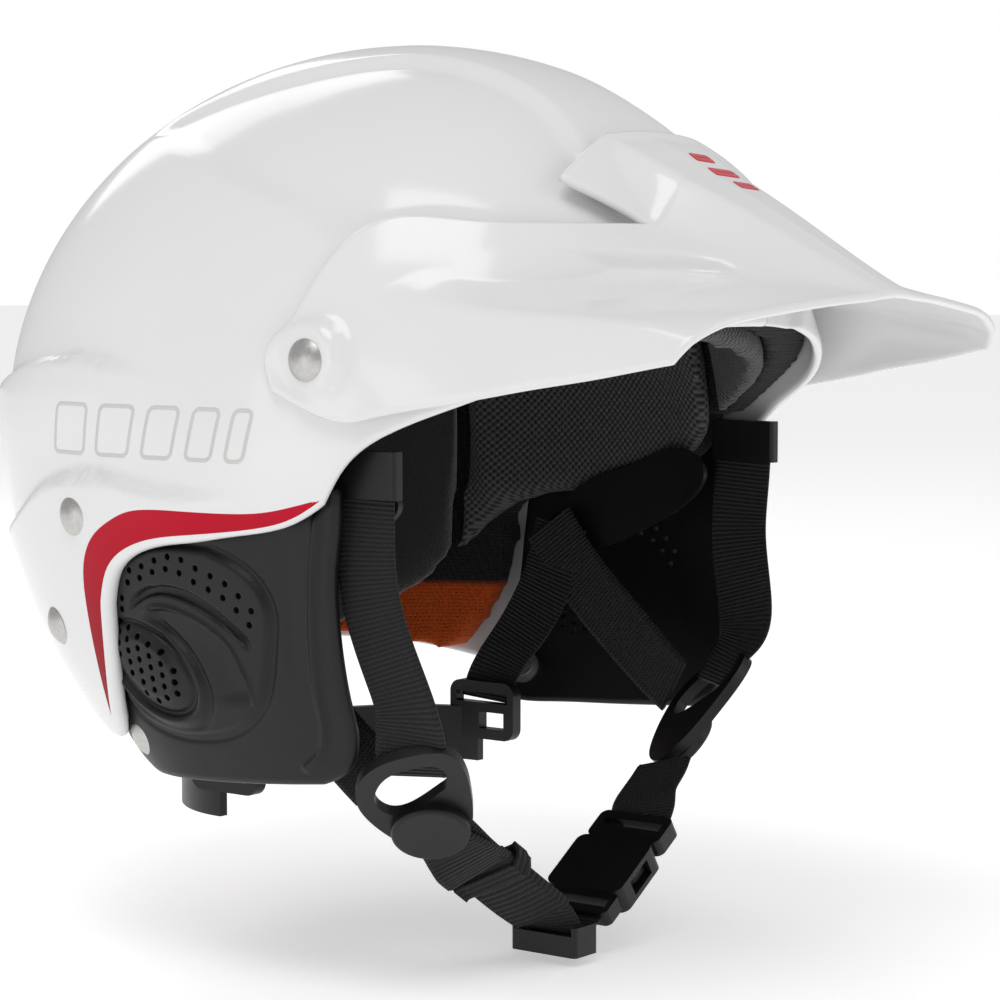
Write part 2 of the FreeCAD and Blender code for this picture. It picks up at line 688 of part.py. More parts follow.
def half_ellipse_solid(half_x, depth, low_z, high_z):
    points = []
    for i in range(13):
        angle = math.pi * i / 12
        points.append(Vector(half_x * math.cos(angle), CRADLE_Y + depth * math.sin(angle), low_z))
    curve = Part.BSplineCurve()
    curve.interpolate(Points=points)
    base = Part.Face(Part.Wire([curve.toShape(), Part.makeLine(points[-1], points[0])]))
    return base.extrude(Vector(0, 0, high_z - low_z))


def build_cradle():
    """Curved nape band with an upright slotted bracket at each end."""
    outer = half_ellipse_solid(CRADLE_HALF_WIDTH, CRADLE_DEPTH, CRADLE_LOW_Z, CRADLE_HIGH_Z)
    inner = half_ellipse_solid(CRADLE_HALF_WIDTH - CRADLE_WALL, CRADLE_DEPTH - CRADLE_WALL,
                               CRADLE_LOW_Z - 5, CRADLE_HIGH_Z + 5)
    band = outer.cut(inner)
    bracket = slab(-CRADLE_HALF_WIDTH - 0.6, -CRADLE_HALF_WIDTH + CRADLE_WALL + 0.6,
                   58.0, 84.0, -130.5, -111.5)
    ends = [e for e in bracket.Edges if abs(e.tangentAt(e.FirstParameter).x) > 0.99]
    bracket = bracket.makeFillet(4.0, ends)
    slot = slab(-80, -40, 60.5, 81.5, -118.5, -115.2)
    window = slab(-80, -40, 62.0, 72.0, -127.0, -121.5)
    bracket = bracket.cut(slot).cut(window)
    return band.fuse(bracket).fuse(mirrored(bracket))


# ---------------------------------------------------------------- fastener groups

def build_visor_washers():
    low = PIVOT_SEAT_X + 0.1
    ring = x_cylinder(7.5, low, low + WASHER_WALL).cut(x_cylinder(RIVET_HOLE_RADIUS, low - 1, low + 2))
    return both_sides(ring)


def build_visor_rivets():
    seat = PIVOT_SEAT_X + WASHER_WALL + 0.2 + BOSS_WALL + 0.05
    cap = rivet(Vector(-seat, 0, 0), Vector(-1, 0, 0), seat - PIVOT_PAD_X + 2.4)
    head_x = -PIVOT_PAD_X + 1.3
    flare = x_cylinder(3.8, head_x, head_x + 1.1)
    return both_sides(cap.fuse(flare))


def shell_rivet(place, stack):
    """Rivet through the shell, with its upset inner head at a depth below the dome surface."""
    point, normal = surface_frame(*place, BELT_PROUD)
    seat = point - normal * 0.75
    length = BELT_PROUD - 0.75 + stack + 2.4
    head = Part.makeCylinder(3.8, 1.1, seat - normal * length, normal)
    return rivet(seat, normal, length).fuse(head)


def backing_washer(frame, depth):
    """Flat washer with its outer face at a depth below a surface point."""
    point, normal = frame
    ring = Part.makeCylinder(5.6, 1.1, point - normal * (depth + 1.15), normal)
    return ring.cut(Part.makeCylinder(RIVET_HOLE_RADIUS, 6, point - normal * (depth + 4), normal))


# Depth from the dome's surface to each rivet's backing washer.
UPPER_STACK = SHELL_WALL + GUARD_WALL + 1.0
LOWER_STACK = SHELL_WALL + 0.5

def build_fasteners():
    nodes = {"visor_washers": build_visor_washers(), "visor_rivets": build_visor_rivets()}
    upper = shell_rivet(UPPER_RIVET, UPPER_STACK)
    lower = shell_rivet(LOWER_RIVET, LOWER_STACK)
    nodes["harness_rivets"] = Part.makeCompound([upper, mirrored(upper), lower, mirrored(lower)])
    point, normal = surface_frame(*GUARD_RIVET, GUARD_OUTSIDE)
    seat = point - normal * 0.85
    length = GUARD_WALL + 2.6
    head = Part.makeCylinder(3.8, 1.1, seat - normal * length, normal)
    nodes["guard_rivets"] = both_sides(rivet(seat, normal, length).fuse(head))
    washers = [
        backing_washer(surface_frame(*UPPER_RIVET, BELT_PROUD), BELT_PROUD + UPPER_STACK),
        backing_washer(surface_frame(*LOWER_RIVET, BELT_PROUD), BELT_PROUD + LOWER_STACK),
        backing_washer((point, normal), GUARD_WALL + 0.4),
        x_cylinder(6.0, -PIVOT_PAD_X + 0.1, -PIVOT_PAD_X + 1.2)
        .cut(x_cylinder(RIVET_HOLE_RADIUS, -120, -80)),
    ]
    nodes["rivet_backings"] = Part.makeCompound(washers + [mirrored(washer) for washer in washers])
    return nodes


def build_harness():
    """Every strap and fitting: name to shape, each in its place."""
    nodes = {}
    ring_frame = local_frame(RIGHT_RING_ORIGIN, RING_ALONG, RING_ACROSS)
    twin_shift = LEFT_RING_ORIGIN - Vector(-RIGHT_RING_ORIGIN.x, RIGHT_RING_ORIGIN.y, RIGHT_RING_ORIGIN.z)
    for name, shape in (("side_ring", ring_shape()), ("ring_cap", ring_cap_shape())):
        right = placed(shape, ring_frame)
        left = mirrored(right)
        left.translate(twin_shift)
        nodes["right_" + name] = right
        nodes["left_" + name] = left
    for name, shape in (("front_strap", build_front_strap()), ("rear_strap", build_rear_strap()),
                        ("strap_anchor", build_strap_anchor()), ("harness_plate", build_harness_plate())):
        nodes["right_" + name] = shape
        nodes["left_" + name] = mirrored(shape)
    nodes["right_chin_strap"] = build_right_chin_strap()
    nodes["left_chin_strap"] = build_left_chin_strap()
    nodes["strap_keeper"] = build_keeper()
    nodes["strap_lock"] = build_lock()
    buckle_frame = local_frame(BUCKLE_ORIGIN, BUCKLE_ALONG, BUCKLE_ACROSS)
    prong = buckle_prong_shape()
    nodes["buckle_socket"] = placed(buckle_socket_shape(), buckle_frame)
    nodes["buckle_clip"] = placed(buckle_clip_shape(), buckle_frame)
    nodes["buckle_front_prong"] = placed(prong, buckle_frame)
    nodes["buckle_rear_prong"] = placed(prong.mirror(Vector(0, 0, 0), Vector(0, 1, 0)), buckle_frame)
    nodes["nape_cradle"] = build_cradle()
    return nodes


def main():
    nodes = build_fasteners()
    nodes.update(build_harness())
    nodes["outer_shell"] = build_shell(dome(0), dome(-SHELL_WALL))
    nodes["visor"] = build_visor()
    liner = build_liner(dome(-SHELL_WALL - 0.2))
    anchor_room = slab(-110, -90, -23, 5, -60, -22)
    nodes["impact_liner"] = liner.cut(anchor_room).cut(mirrored(anchor_room))
    brow_pad, side_pad, rear_pad, crown_pad = build_pads()
    nodes["brow_pad"] = brow_pad
    nodes["right_side_pad"] = side_pad
    nodes["left_side_pad"] = mirrored(side_pad)
    nodes["rear_pad"] = rear_pad
    nodes["crown_pad"] = crown_pad
    guard = build_guard()
    nodes["right_ear_guard"] = guard
    nodes["left_ear_guard"] = mirrored(guard)
    for node, shape in nodes.items():
        save(shape, node)


main()
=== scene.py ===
"""Looks of the whitewater helmet: hard shell, visor, ear guards, pads and webbing round the CAD parts.

Lengths are millimetres until a mesh is made.  +Z is up, the wearer faces -Y and their right is -X.
"""
import math

import bpy
import numpy as np
from mathutils import Matrix, Vector


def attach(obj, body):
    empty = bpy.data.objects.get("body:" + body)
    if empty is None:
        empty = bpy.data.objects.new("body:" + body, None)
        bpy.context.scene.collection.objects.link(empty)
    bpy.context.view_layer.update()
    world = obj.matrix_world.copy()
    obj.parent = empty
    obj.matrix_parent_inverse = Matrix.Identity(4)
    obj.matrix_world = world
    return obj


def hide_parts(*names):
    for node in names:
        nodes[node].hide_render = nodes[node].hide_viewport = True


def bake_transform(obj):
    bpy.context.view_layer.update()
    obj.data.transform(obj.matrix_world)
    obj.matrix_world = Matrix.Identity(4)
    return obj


MM = 0.001

# The dome: the same sizes as the CAD source.
HALF_WIDTH = 112.0
HALF_LENGTH = 122.0
CROWN_HEIGHT = 114.5
CENTRE_Y = 48.5
EQUATOR_Z = -23.5
PLAN_POWER = 2.4
FLANK_TUCK = 0.10
NAPE_START_Z = -30.0
NAPE_DROP = 82.0
NAPE_TUCK = 48.0
SKIRT_REACH = 180.0

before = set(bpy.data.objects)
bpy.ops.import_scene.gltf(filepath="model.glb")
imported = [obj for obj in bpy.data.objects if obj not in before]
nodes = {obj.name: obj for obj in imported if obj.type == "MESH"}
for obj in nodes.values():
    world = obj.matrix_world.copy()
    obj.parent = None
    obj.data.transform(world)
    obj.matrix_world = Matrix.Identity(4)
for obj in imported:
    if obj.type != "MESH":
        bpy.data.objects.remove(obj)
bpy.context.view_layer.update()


# ---------------------------------------------------------------- curves

def spline(points, count):
    """Natural cubic curve through the points, sampled evenly along its chords."""
    points = np.array(points, float)
    steps = np.linalg.norm(np.diff(points, axis=0), axis=1)
    return spline_at(points, np.concatenate([[0], np.cumsum(steps)]), count)


def spline_at(points, knots, count):
    """Natural cubic curve through arrays of points at the given knots."""
    shape = points.shape
    flat = points.reshape(shape[0], -1)
    last = len(flat) - 1
    steps = np.diff(knots)
    system = np.eye(last + 1)
    right_side = np.zeros_like(flat)
    for i in range(1, last):
        system[i, i - 1] = steps[i - 1]
        system[i, i] = 2 * (steps[i - 1] + steps[i])
        system[i, i + 1] = steps[i]
        right_side[i] = 6 * ((flat[i + 1] - flat[i]) / steps[i] - (flat[i] - flat[i - 1]) / steps[i - 1])
    bend = np.linalg.solve(system, right_side)
    at = np.linspace(knots[0], knots[-1], count)
    k = np.clip(np.searchsorted(knots, at, side="right") - 1, 0, last - 1)
    before = (at - knots[k])[:, None]
    after = (knots[k + 1] - at)[:, None]
    step = steps[k][:, None]
    curve = (bend[k] * after ** 3 + bend[k + 1] * before ** 3) / (6 * step)
    curve += (flat[k] / step - bend[k] * step / 6) * after
    curve += (flat[k + 1] / step - bend[k + 1] * step / 6) * before
    return curve.reshape((count,) + shape[1:])


def profile(points):
    """A smooth function through (position, value) points, level beyond its ends."""
    curve = spline(points, 400)
    positions = np.maximum.accumulate(curve[:, 0])
    return lambda at: np.interp(at, positions, curve[:, 1])


def ease(value):
    value = np.clip(value, 0.0, 1.0)
    return value * value * (3 - 2 * value)


def signed_distance(y, z, outline):
    """Distance of side-view points inside a closed outline, negative outside."""
    y, z = np.ravel(y), np.ravel(z)
    nearest = np.full(len(y), 1e9)
    inside = np.zeros(len(y), bool)
    for (ay, az), (by, bz) in zip(outline, np.roll(outline, -1, axis=0)):
        span = (by - ay) ** 2 + (bz - az) ** 2 + 1e-12
        along = np.clip(((y - ay) * (by - ay) + (z - az) * (bz - az)) / span, 0, 1)
        nearest = np.minimum(nearest, np.hypot(y - ay - along * (by - ay), z - az - along * (bz - az)))
        crosses = (az > z) != (bz > z)
        inside ^= crosses & (y < ay + (z - az) * (by - ay) / (bz - az + 1e-12))
    return np.where(inside, nearest, -nearest)


def to_curve(y, z, points):
    """Signed distance of side-view points to a curve, positive on its left, and their share along."""
    curve = spline(points, 90)
    best = np.full(np.shape(y), 1e9)
    side = np.zeros(np.shape(y))
    along = np.zeros(np.shape(y))
    for i in range(len(curve) - 1):
        ay, az = curve[i]
        by, bz = curve[i + 1]
        length = math.hypot(by - ay, bz - az)
        share = np.clip(((y - ay) * (by - ay) + (z - az) * (bz - az)) / length ** 2, 0, 1)
        far = np.hypot(y - ay - share * (by - ay), z - az - share * (bz - az))
        cross = (by - ay) * (z - az) - (bz - az) * (y - ay)
        nearer = far < best
        best = np.where(nearer, far, best)
        side = np.where(nearer, np.sign(cross), side)
        along = np.where(nearer, (i + share) / (len(curve) - 1), along)
    return best * side, along


# ---------------------------------------------------------------- the dome

def signed_power(value, power):
    return np.sign(value) * np.abs(value) ** power


def dome_size(z, offset):
    """Half-width, front length and rear length of the dome's level at a height."""
    above = np.clip((z - EQUATOR_Z) / (CROWN_HEIGHT + offset), 0, 1)
    below = np.maximum(EQUATOR_Z - z, 0)
    shrink = np.sqrt(1 - above ** 2)
    tuck = (np.maximum(NAPE_START_Z - z, 0) / NAPE_DROP) ** 2.2
    half_x = np.where(below > 0, HALF_WIDTH * (1 - FLANK_TUCK * (below / 90.0) ** 2) + offset,
                      (HALF_WIDTH + offset) * shrink)
    front = np.where(below > 0, HALF_LENGTH - 0.03 * below + offset, (HALF_LENGTH + offset) * shrink)
    rear = np.where(below > 0, HALF_LENGTH - NAPE_TUCK * tuck + offset, (HALF_LENGTH + offset) * shrink)
    return half_x, front, rear


def dome_point(theta, rho, offset):
    """Theta is 0 at the front, 90 at the wearer's right; rho is 0 at the crown and 1 at the equator."""
    rise = (1 - np.minimum(rho, 1)) * math.pi / 2
    z = np.where(rho <= 1, EQUATOR_Z + (CROWN_HEIGHT + offset) * np.sin(rise),
                 EQUATOR_Z - SKIRT_REACH * (rho - 1))
    half_x, front, rear = dome_size(z, offset)
    half_x = np.where(rho <= 1, (HALF_WIDTH + offset) * np.cos(rise), half_x)
    front = np.where(rho <= 1, (HALF_LENGTH + offset) * np.cos(rise), front)
    rear = np.where(rho <= 1, (HALF_LENGTH + offset) * np.cos(rise), rear)
    turn = np.radians(theta)
    x = -half_x * signed_power(np.sin(turn), 2 / PLAN_POWER)
    reach = np.where(np.cos(turn) > 0, front, rear)
    y = CENTRE_Y - reach * signed_power(np.cos(turn), 2 / PLAN_POWER)
    return np.stack(np.broadcast_arrays(x, y, z), axis=-1)


def flank(y, z, offset):
    """How far out the dome's side lies at a side-view point."""
    half_x, front, rear = dome_size(z, offset)
    reach = np.where(y < CENTRE_Y, front, rear)
    ratio = np.clip(np.abs(y - CENTRE_Y) / reach, 0, 1)
    return half_x * (1 - ratio ** PLAN_POWER) ** (1 / PLAN_POWER)


# ---------------------------------------------------------------- meshes

def mesh_object(name, points, faces, smooth=True):
    mesh = bpy.data.meshes.new(name)
    mesh.from_pydata((np.asarray(points, float) * MM).tolist(), [], faces)
    mesh.update()
    mesh.polygons.foreach_set("use_smooth", [smooth] * len(mesh.polygons))
    made = bpy.data.objects.new(name, mesh)
    bpy.context.scene.collection.objects.link(made)
    return made


def grid_faces(rows, columns, wrap=False):
    """Quads over a grid of points stored row by row."""
    faces = []
    for row in range(rows - 1):
        for column in range(columns if wrap else columns - 1):
            beside = (column + 1) % columns
            faces.append((row * columns + column, row * columns + beside,
                          (row + 1) * columns + beside, (row + 1) * columns + column))
    return faces


def point_normals(points, faces):
    corners = [np.array([face[i] for face in faces]) for i in (0, 1, -2, -1)]
    a, b, c, d = (points[index] for index in corners)
    across = np.cross(c - a, d - b)
    normals = np.zeros_like(points)
    for index in corners:
        np.add.at(normals, index, across)
    return normals / (np.linalg.norm(normals, axis=1, keepdims=True) + 1e-12)


def thicken(name, points, faces, inner=None, wall=None, rim_steps=3):
    """Closed sheet between an outer skin and an inner one, with a round rim along every open edge."""
    normals = point_normals(points, faces)
    if inner is None:
        inner = points - normals * wall
    count = len(points)
    edges = set()
    for face in faces:
        for a, b in zip(face, face[1:] + face[:1]):
            edges.add((a, b))
    open_edges = [(a, b) for a, b in edges if (b, a) not in edges]
    outward = np.zeros_like(points)
    for a, b in open_edges:
        side = np.cross(points[b] - points[a], normals[a] + normals[b])
        side /= np.linalg.norm(side) + 1e-12
        outward[a] += side
        outward[b] += side
    rim = sorted({a for edge in open_edges for a in edge})
    place = {a: i for i, a in enumerate(rim)}
    directions = outward[rim] / (np.linalg.norm(outward[rim], axis=1, keepdims=True) + 1e-12)
    middle = (points[rim] + inner[rim]) / 2
    half = (points[rim] - inner[rim]) / 2
    radius = np.linalg.norm(half, axis=1, keepdims=True)
    arcs = []
    for step in range(1, rim_steps + 1):
        angle = math.pi * step / (rim_steps + 1)
        arcs.append(middle + half * math.cos(angle) + directions * radius * math.sin(angle))
    everything = np.concatenate([points, inner] + arcs)
    all_faces = list(faces) + [tuple(count + i for i in reversed(face)) for face in faces]
    for a, b in open_edges:
        path_a = [a] + [2 * count + k * len(rim) + place[a] for k in range(rim_steps)] + [count + a]
        path_b = [b] + [2 * count + k * len(rim) + place[b] for k in range(rim_steps)] + [count + b]
        for k in range(rim_steps + 1):
            all_faces.append((path_b[k], path_a[k], path_a[k + 1], path_b[k + 1]))
    return mesh_object(name, everything, all_faces)


def store(made, name, values):
    """A number at every point of a mesh, for its material to read."""
    attribute = made.data.attributes.new(name, "FLOAT", "POINT")
    padded = np.full(len(made.data.vertices), -20.0, np.float32)
    padded[:len(values)] = values
    attribute.data.foreach_set("value", padded)


def boolean_cut(made, cutter):
    modifier = made.modifiers.new("cut", "BOOLEAN")
    modifier.operation = "DIFFERENCE"
    modifier.solver = "EXACT"
    modifier.object = cutter
    bake_modifiers(made)
    bpy.data.objects.remove(cutter)


def bake_modifiers(made):
    graph = bpy.context.evaluated_depsgraph_get()
    baked = bpy.data.meshes.new_from_object(made.evaluated_get(graph))
    made.modifiers.clear()
    made.data = baked


def tube(name, start, end, radius, sides=24):
    """Closed cylinder between two points."""
    start, end = np.array(start, float), np.array(end, float)
    axis = (end - start) / np.linalg.norm(end - start)
    side = np.cross(axis, (0.0, 0.0, 1.0) if abs(axis[2]) < 0.9 else (1.0, 0.0, 0.0))
    side /= np.linalg.norm(side)
    up = np.cross(axis, side)
    rings = []
    for centre in (start, end):
        for i in range(sides):
            turn = 2 * math.pi * i / sides
            rings.append(centre + radius * (side * math.cos(turn) + up * math.sin(turn)))
    faces = [tuple(range(sides))[::-1], tuple(range(sides, 2 * sides))]
    faces += [(i, (i + 1) % sides, sides + (i + 1) % sides, sides + i) for i in range(sides)]
    return mesh_object(name, rings, faces, smooth=False)


def joined(name, parts):
    """One object from several meshes."""
    points, faces = [], []
    for part in parts:
        start = len(points)
        points += [tuple(v.co / MM) for v in part.data.vertices]
        faces += [tuple(start + i for i in polygon.vertices) for polygon in part.data.polygons]
        bpy.data.objects.remove(part)
    return mesh_object(name, points, faces, smooth=False)


# ---------------------------------------------------------------- finishes

def add(tree, kind, inputs=None, **settings):
    """A shader node with its settings and its inputs, which are values or other nodes' outputs."""
    made = tree.nodes.new(kind)
    for key, value in settings.items():
        setattr(made, key, value)
    for key, value in (inputs or {}).items():
        if isinstance(value, bpy.types.NodeSocket):
            tree.links.new(value, made.inputs[key])
        else:
            made.inputs[key].default_value = value
    return made


def calculate(tree, operation, a, b=0.0, c=0.0):
    return add(tree, "ShaderNodeMath", {0: a, 1: b, 2: c}, operation=operation).outputs[0]


def mixed(tree, share, a, b):
    made = add(tree, "ShaderNodeMix", {"Factor": share}, data_type="RGBA")
    for slot_number, value in ((6, a), (7, b)):
        if isinstance(value, bpy.types.NodeSocket):
            tree.links.new(value, made.inputs[slot_number])
        else:
            made.inputs[slot_number].default_value = (*value, 1.0)
    return made.outputs[2]


def ramp(tree, value, low, high):
    """0 below low, 1 above high, smooth between."""
    made = add(tree, "ShaderNodeMapRange", {"Value": value, "From Min": low, "From Max": high},
               interpolation_type="SMOOTHSTEP")
    return made.outputs["Result"]


def new_material(name):
    made = bpy.data.materials.new(name)
    made.use_nodes = True
    tree = made.node_tree
    return made, tree, tree.nodes["Principled BSDF"]


def coordinates(tree, scale=1.0, source="Object"):
    place = add(tree, "ShaderNodeTexCoord").outputs[source]
    return add(tree, "ShaderNodeMapping", {"Vector": place, "Scale": (scale, scale, scale)}).outputs[0]


def noise(tree, place, scale, detail=2.0):
    made = add(tree, "ShaderNodeTexNoise", {"Vector": place, "Scale": scale, "Detail": detail})
    return made.outputs[0]


def bump(tree, shader, height, distance, strength=1.0):
    made = add(tree, "ShaderNodeBump", {"Height": height, "Distance": distance, "Strength": strength})
    tree.links.new(made.outputs[0], shader.inputs["Normal"])


def set_inputs(shader, **values):
    for key, value in values.items():
        shader.inputs[key.replace("_", " ")].default_value = value


def plastic(name, colour, roughness, grain, depth, speckle=0.04):
    """Moulded plastic or rubber: faint colour mottling, uneven gloss and a fine moulded grain."""
    made, tree, shader = new_material(name)
    place = coordinates(tree)
    cloudy = noise(tree, place, 60.0, 3.0)
    darker = tuple(c * (1 - speckle) for c in colour)
    lighter = tuple(min(1.0, c * (1 + speckle)) for c in colour)
    tree.links.new(mixed(tree, cloudy, darker, lighter), shader.inputs["Base Color"])
    gloss = calculate(tree, "MULTIPLY_ADD", noise(tree, place, 240.0), 0.12, roughness - 0.06)
    tree.links.new(gloss, shader.inputs["Roughness"])
    set_inputs(shader, Specular_IOR_Level=0.32)
    bump(tree, shader, noise(tree, place, grain, 4.0), depth)
    return made


def gloss_white(name, stripe=False):
    """Injection-moulded gloss shell, with an optional crimson band read from the mesh, its red painted darker
    low on the shell as painted shade.
    """
    made, tree, shader = new_material(name)
    place = coordinates(tree)
    cloudy = noise(tree, place, 25.0)
    colour = mixed(tree, cloudy, (0.80, 0.80, 0.806), (0.83, 0.83, 0.834))
    if stripe:
        reach = add(tree, "ShaderNodeAttribute", attribute_name="stripe").outputs["Fac"]
        share = ramp(tree, reach, 0.55, 0.75)
        height = add(tree, "ShaderNodeSeparateXYZ", {0: place}).outputs[2]
        # Painted shade: below z -35 mm the band's red turns into a darker copy of itself, darkest from z -100
        # mm down.
        red_with_painted_shade = mixed(tree, ramp(tree, height, -0.10, -0.035), (0.30, 0.001, 0.010), (0.52, 0.003, 0.022))
        colour = mixed(tree, share, colour, red_with_painted_shade)
        tree.links.new(calculate(tree, "MULTIPLY_ADD", share, -0.4, 0.5), shader.inputs["Specular IOR Level"])
    tree.links.new(colour, shader.inputs["Base Color"])
    set_inputs(shader, Roughness=0.16, Coat_Weight=0.12, Coat_Roughness=0.03, IOR=1.45)
    bump(tree, shader, noise(tree, place, 90.0, 1.0), 0.00004, 0.25)
    return made


def steel(name):
    made, tree, shader = new_material(name)
    place = coordinates(tree)
    fine = noise(tree, place, 900.0, 5.0)
    tree.links.new(mixed(tree, fine, (0.42, 0.41, 0.40), (0.66, 0.65, 0.63)), shader.inputs["Base Color"])
    tree.links.new(calculate(tree, "MULTIPLY_ADD", fine, 0.2, 0.3), shader.inputs["Roughness"])
    set_inputs(shader, Metallic=1.0)
    bump(tree, shader, fine, 0.00003)
    return made


def woven(name, colour, pitch, sheen=0.15):
    """Ribbed webbing: ribs run across the strap, with a fine herringbone of threads."""
    made, tree, shader = new_material(name)
    place = add(tree, "ShaderNodeUVMap").outputs[0]
    split = add(tree, "ShaderNodeSeparateXYZ", {0: place})
    across, along = split.outputs[0], split.outputs[1]
    rib = calculate(tree, "SINE", calculate(tree, "MULTIPLY", along, 2 * math.pi / pitch))
    drift = calculate(tree, "MULTIPLY", along, 5.0)
    lean = calculate(tree, "MULTIPLY_ADD", across, 2 * math.pi / (pitch * 0.9), drift)
    thread = calculate(tree, "SINE", lean)
    height = calculate(tree, "MULTIPLY_ADD", thread, 0.35, rib)
    share = calculate(tree, "MULTIPLY_ADD", height, 0.35, 0.5)
    dark = tuple(c * 0.5 for c in colour)
    light = tuple(c * 1.9 for c in colour)
    tree.links.new(mixed(tree, share, dark, light), shader.inputs["Base Color"])
    set_inputs(shader, Roughness=0.72, Sheen_Weight=sheen * 0.4, Sheen_Roughness=0.4, Specular_IOR_Level=0.25)
    bump(tree, shader, height, 0.00018)
    return made


def cellular(name, dark, light, scale, depth, roughness=0.85, lining=None):
    """Open-textured foam or knitted mesh: a field of small pits. Lining colours the part low at the back."""
    made, tree, shader = new_material(name)
    place = coordinates(tree)
    wanted = {"Vector": place, "Scale": scale, "Randomness": 0.25}
    cells = add(tree, "ShaderNodeTexVoronoi", wanted).outputs[0]
    share = ramp(tree, cells, 0.15, 0.55)
    colour = mixed(tree, share, dark, light)
    if lining:
        split = add(tree, "ShaderNodeSeparateXYZ", {0: place})
        low = ramp(tree, split.outputs[2], -0.084, -0.081)
        back = ramp(tree, split.outputs[1], 0.030, 0.034)
        shown = calculate(tree, "MULTIPLY", back, calculate(tree, "SUBTRACT", 1.0, low))
        colour = mixed(tree, shown, colour, lining)
    tree.links.new(colour, shader.inputs["Base Color"])
    set_inputs(shader, Roughness=roughness, Sheen_Weight=0.05, Specular_IOR_Level=0.2)
    height = calculate(tree, "MULTIPLY_ADD", noise(tree, place, scale * 2, 3.0), 0.4, share)
    bump(tree, shader, height, depth)
    return made


def knitted(name, dark, light, pitch, depth):
    """Spacer mesh: rows of small pits that follow the band round the head, over a soft fuzz."""
    made, tree, shader = new_material(name)
    place = coordinates(tree)
    split = add(tree, "ShaderNodeSeparateXYZ", {0: place})
    around = calculate(tree, "ADD", calculate(tree, "ABSOLUTE", split.outputs[0]), split.outputs[1])
    turns = 2 * math.pi / (pitch * MM)
    column = calculate(tree, "SINE", calculate(tree, "MULTIPLY", around, turns))
    row = calculate(tree, "SINE", calculate(tree, "MULTIPLY", split.outputs[2], turns))
    pits = calculate(tree, "MULTIPLY_ADD", calculate(tree, "MULTIPLY", column, row), 0.5, 0.5)
    height = calculate(tree, "MULTIPLY_ADD", noise(tree, place, 1500.0, 3.0), 0.4, pits)
    tree.links.new(mixed(tree, ramp(tree, pits, 0.2, 0.7), dark, light), shader.inputs["Base Color"])
    set_inputs(shader, Roughness=0.75, Sheen_Weight=0.1, Specular_IOR_Level=0.3)
    bump(tree, shader, height, depth)
    return made


def fuzzy(name, colour):
    made, tree, shader = new_material(name)
    place = coordinates(tree)
    fluff = noise(tree, place, 1400.0, 6.0)
    tree.links.new(mixed(tree, fluff, tuple(c * 0.4 for c in colour), tuple(c * 1.8 for c in colour)),
                   shader.inputs["Base Color"])
    set_inputs(shader, Roughness=0.95, Sheen_Weight=0.5, Sheen_Roughness=0.5)
    bump(tree, shader, fluff, 0.0006)
    return made


FINISHES = {
    "shell_white": gloss_white("shell_gloss", stripe=True),
    "visor_white": gloss_white("visor_gloss"),
    "guard_black": plastic("guard_rubber", (0.007, 0.007, 0.0075), 0.42, 1500.0, 0.00006, 0.2),
    "foam_black": cellular("liner_foam", (0.005, 0.005, 0.005), (0.014, 0.014, 0.015), 900.0, 0.0004, 0.85,
                           lining=(0.48, 0.07, 0.006)),
    "pad_mesh": knitted("pad_mesh_cloth", (0.014, 0.014, 0.015), (0.075, 0.078, 0.082), 2.4, 0.0005),
    "pad_fleece": fuzzy("pad_fleece_cloth", (0.014, 0.014, 0.015)),
    "webbing_black": woven("webbing", (0.012, 0.012, 0.013), 1.3),
    "sleeve_black": woven("sleeve_knit", (0.010, 0.010, 0.011), 2.2, 0.1),
    "fitting_black": plastic("fitting_acetal", (0.008, 0.008, 0.0085), 0.38, 2200.0, 0.00004, 0.15),
    "mark_grey": plastic("mark_ink", (0.62, 0.62, 0.60), 0.3, 1500.0, 0.00001),
    "mark_red": plastic("mark_red_ink", (0.62, 0.01, 0.035), 0.25, 1500.0, 0.00001),
    "rivet_steel": steel("satin_steel"),
    "washer_nylon": plastic("washer_plastic", (0.6, 0.6, 0.58), 0.5, 1500.0, 0.00003),
}


def coat(made, body, finish_name):
    """Gives a piece its finish and, when a body is named, the body that carries it."""
    made.data.materials.clear()
    made.data.materials.append(FINISHES[finish_name])
    if body:
        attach(made, body)


def dress(made, body, slot_name, *stands_for):
    """Coats a piece with the finish of the given slot name and hides the CAD nodes it stands for."""
    coat(made, body, slot_name)
    if stands_for:
        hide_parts(*stands_for)
    return made


# ---------------------------------------------------------------- outer shell

BROW_EDGE = [(-90, 17), (-70, 9), (-44, -8), (-25, -17), (-9, -28), (-2, -39.5)]
EAR_EDGE = [(-2, -39.5), (5.8, -44.2), (18.3, -47.6), (42.6, -50.5), (62, -54.6), (71.5, -61), (76.2, -72)]
TAIL_EDGE = [(76.2, -72), (78.2, -92), (80.5, -105.5)]
TAIL_TIP = [(80.5, -105.5), (84.5, -110.5), (91, -108)]
NAPE_EDGE = [(91, -108), (120, -101), (190, -98)]
STRIPE_EDGE = [(-4, -36.2), (5.3, -38.8), (14.5, -40.8), (24, -41.6), (45, -41.5), (54, -41.7),
               (62.3, -42.8), (71, -46.2), (79, -51.5), (83.5, -59), (84.5, -71), (83.5, -88), (82.5, -108)]
SHELL_WALL = 3.0
SHELL_THINNEST = 1.4
UPPER_RIDGE_HEIGHT = 3.2
LOWER_RIDGE_HEIGHT = 2.7
SCALLOP_DEPTH = 2.7
SHELL_COLUMNS = 210
SHELL_ROWS = 150


def rim_curve():
    """The shell's lower edge in side view, from brow to nape."""
    runs = [spline(run, 60) for run in (BROW_EDGE, EAR_EDGE, TAIL_EDGE, TAIL_TIP, NAPE_EDGE)]
    return np.concatenate(runs)


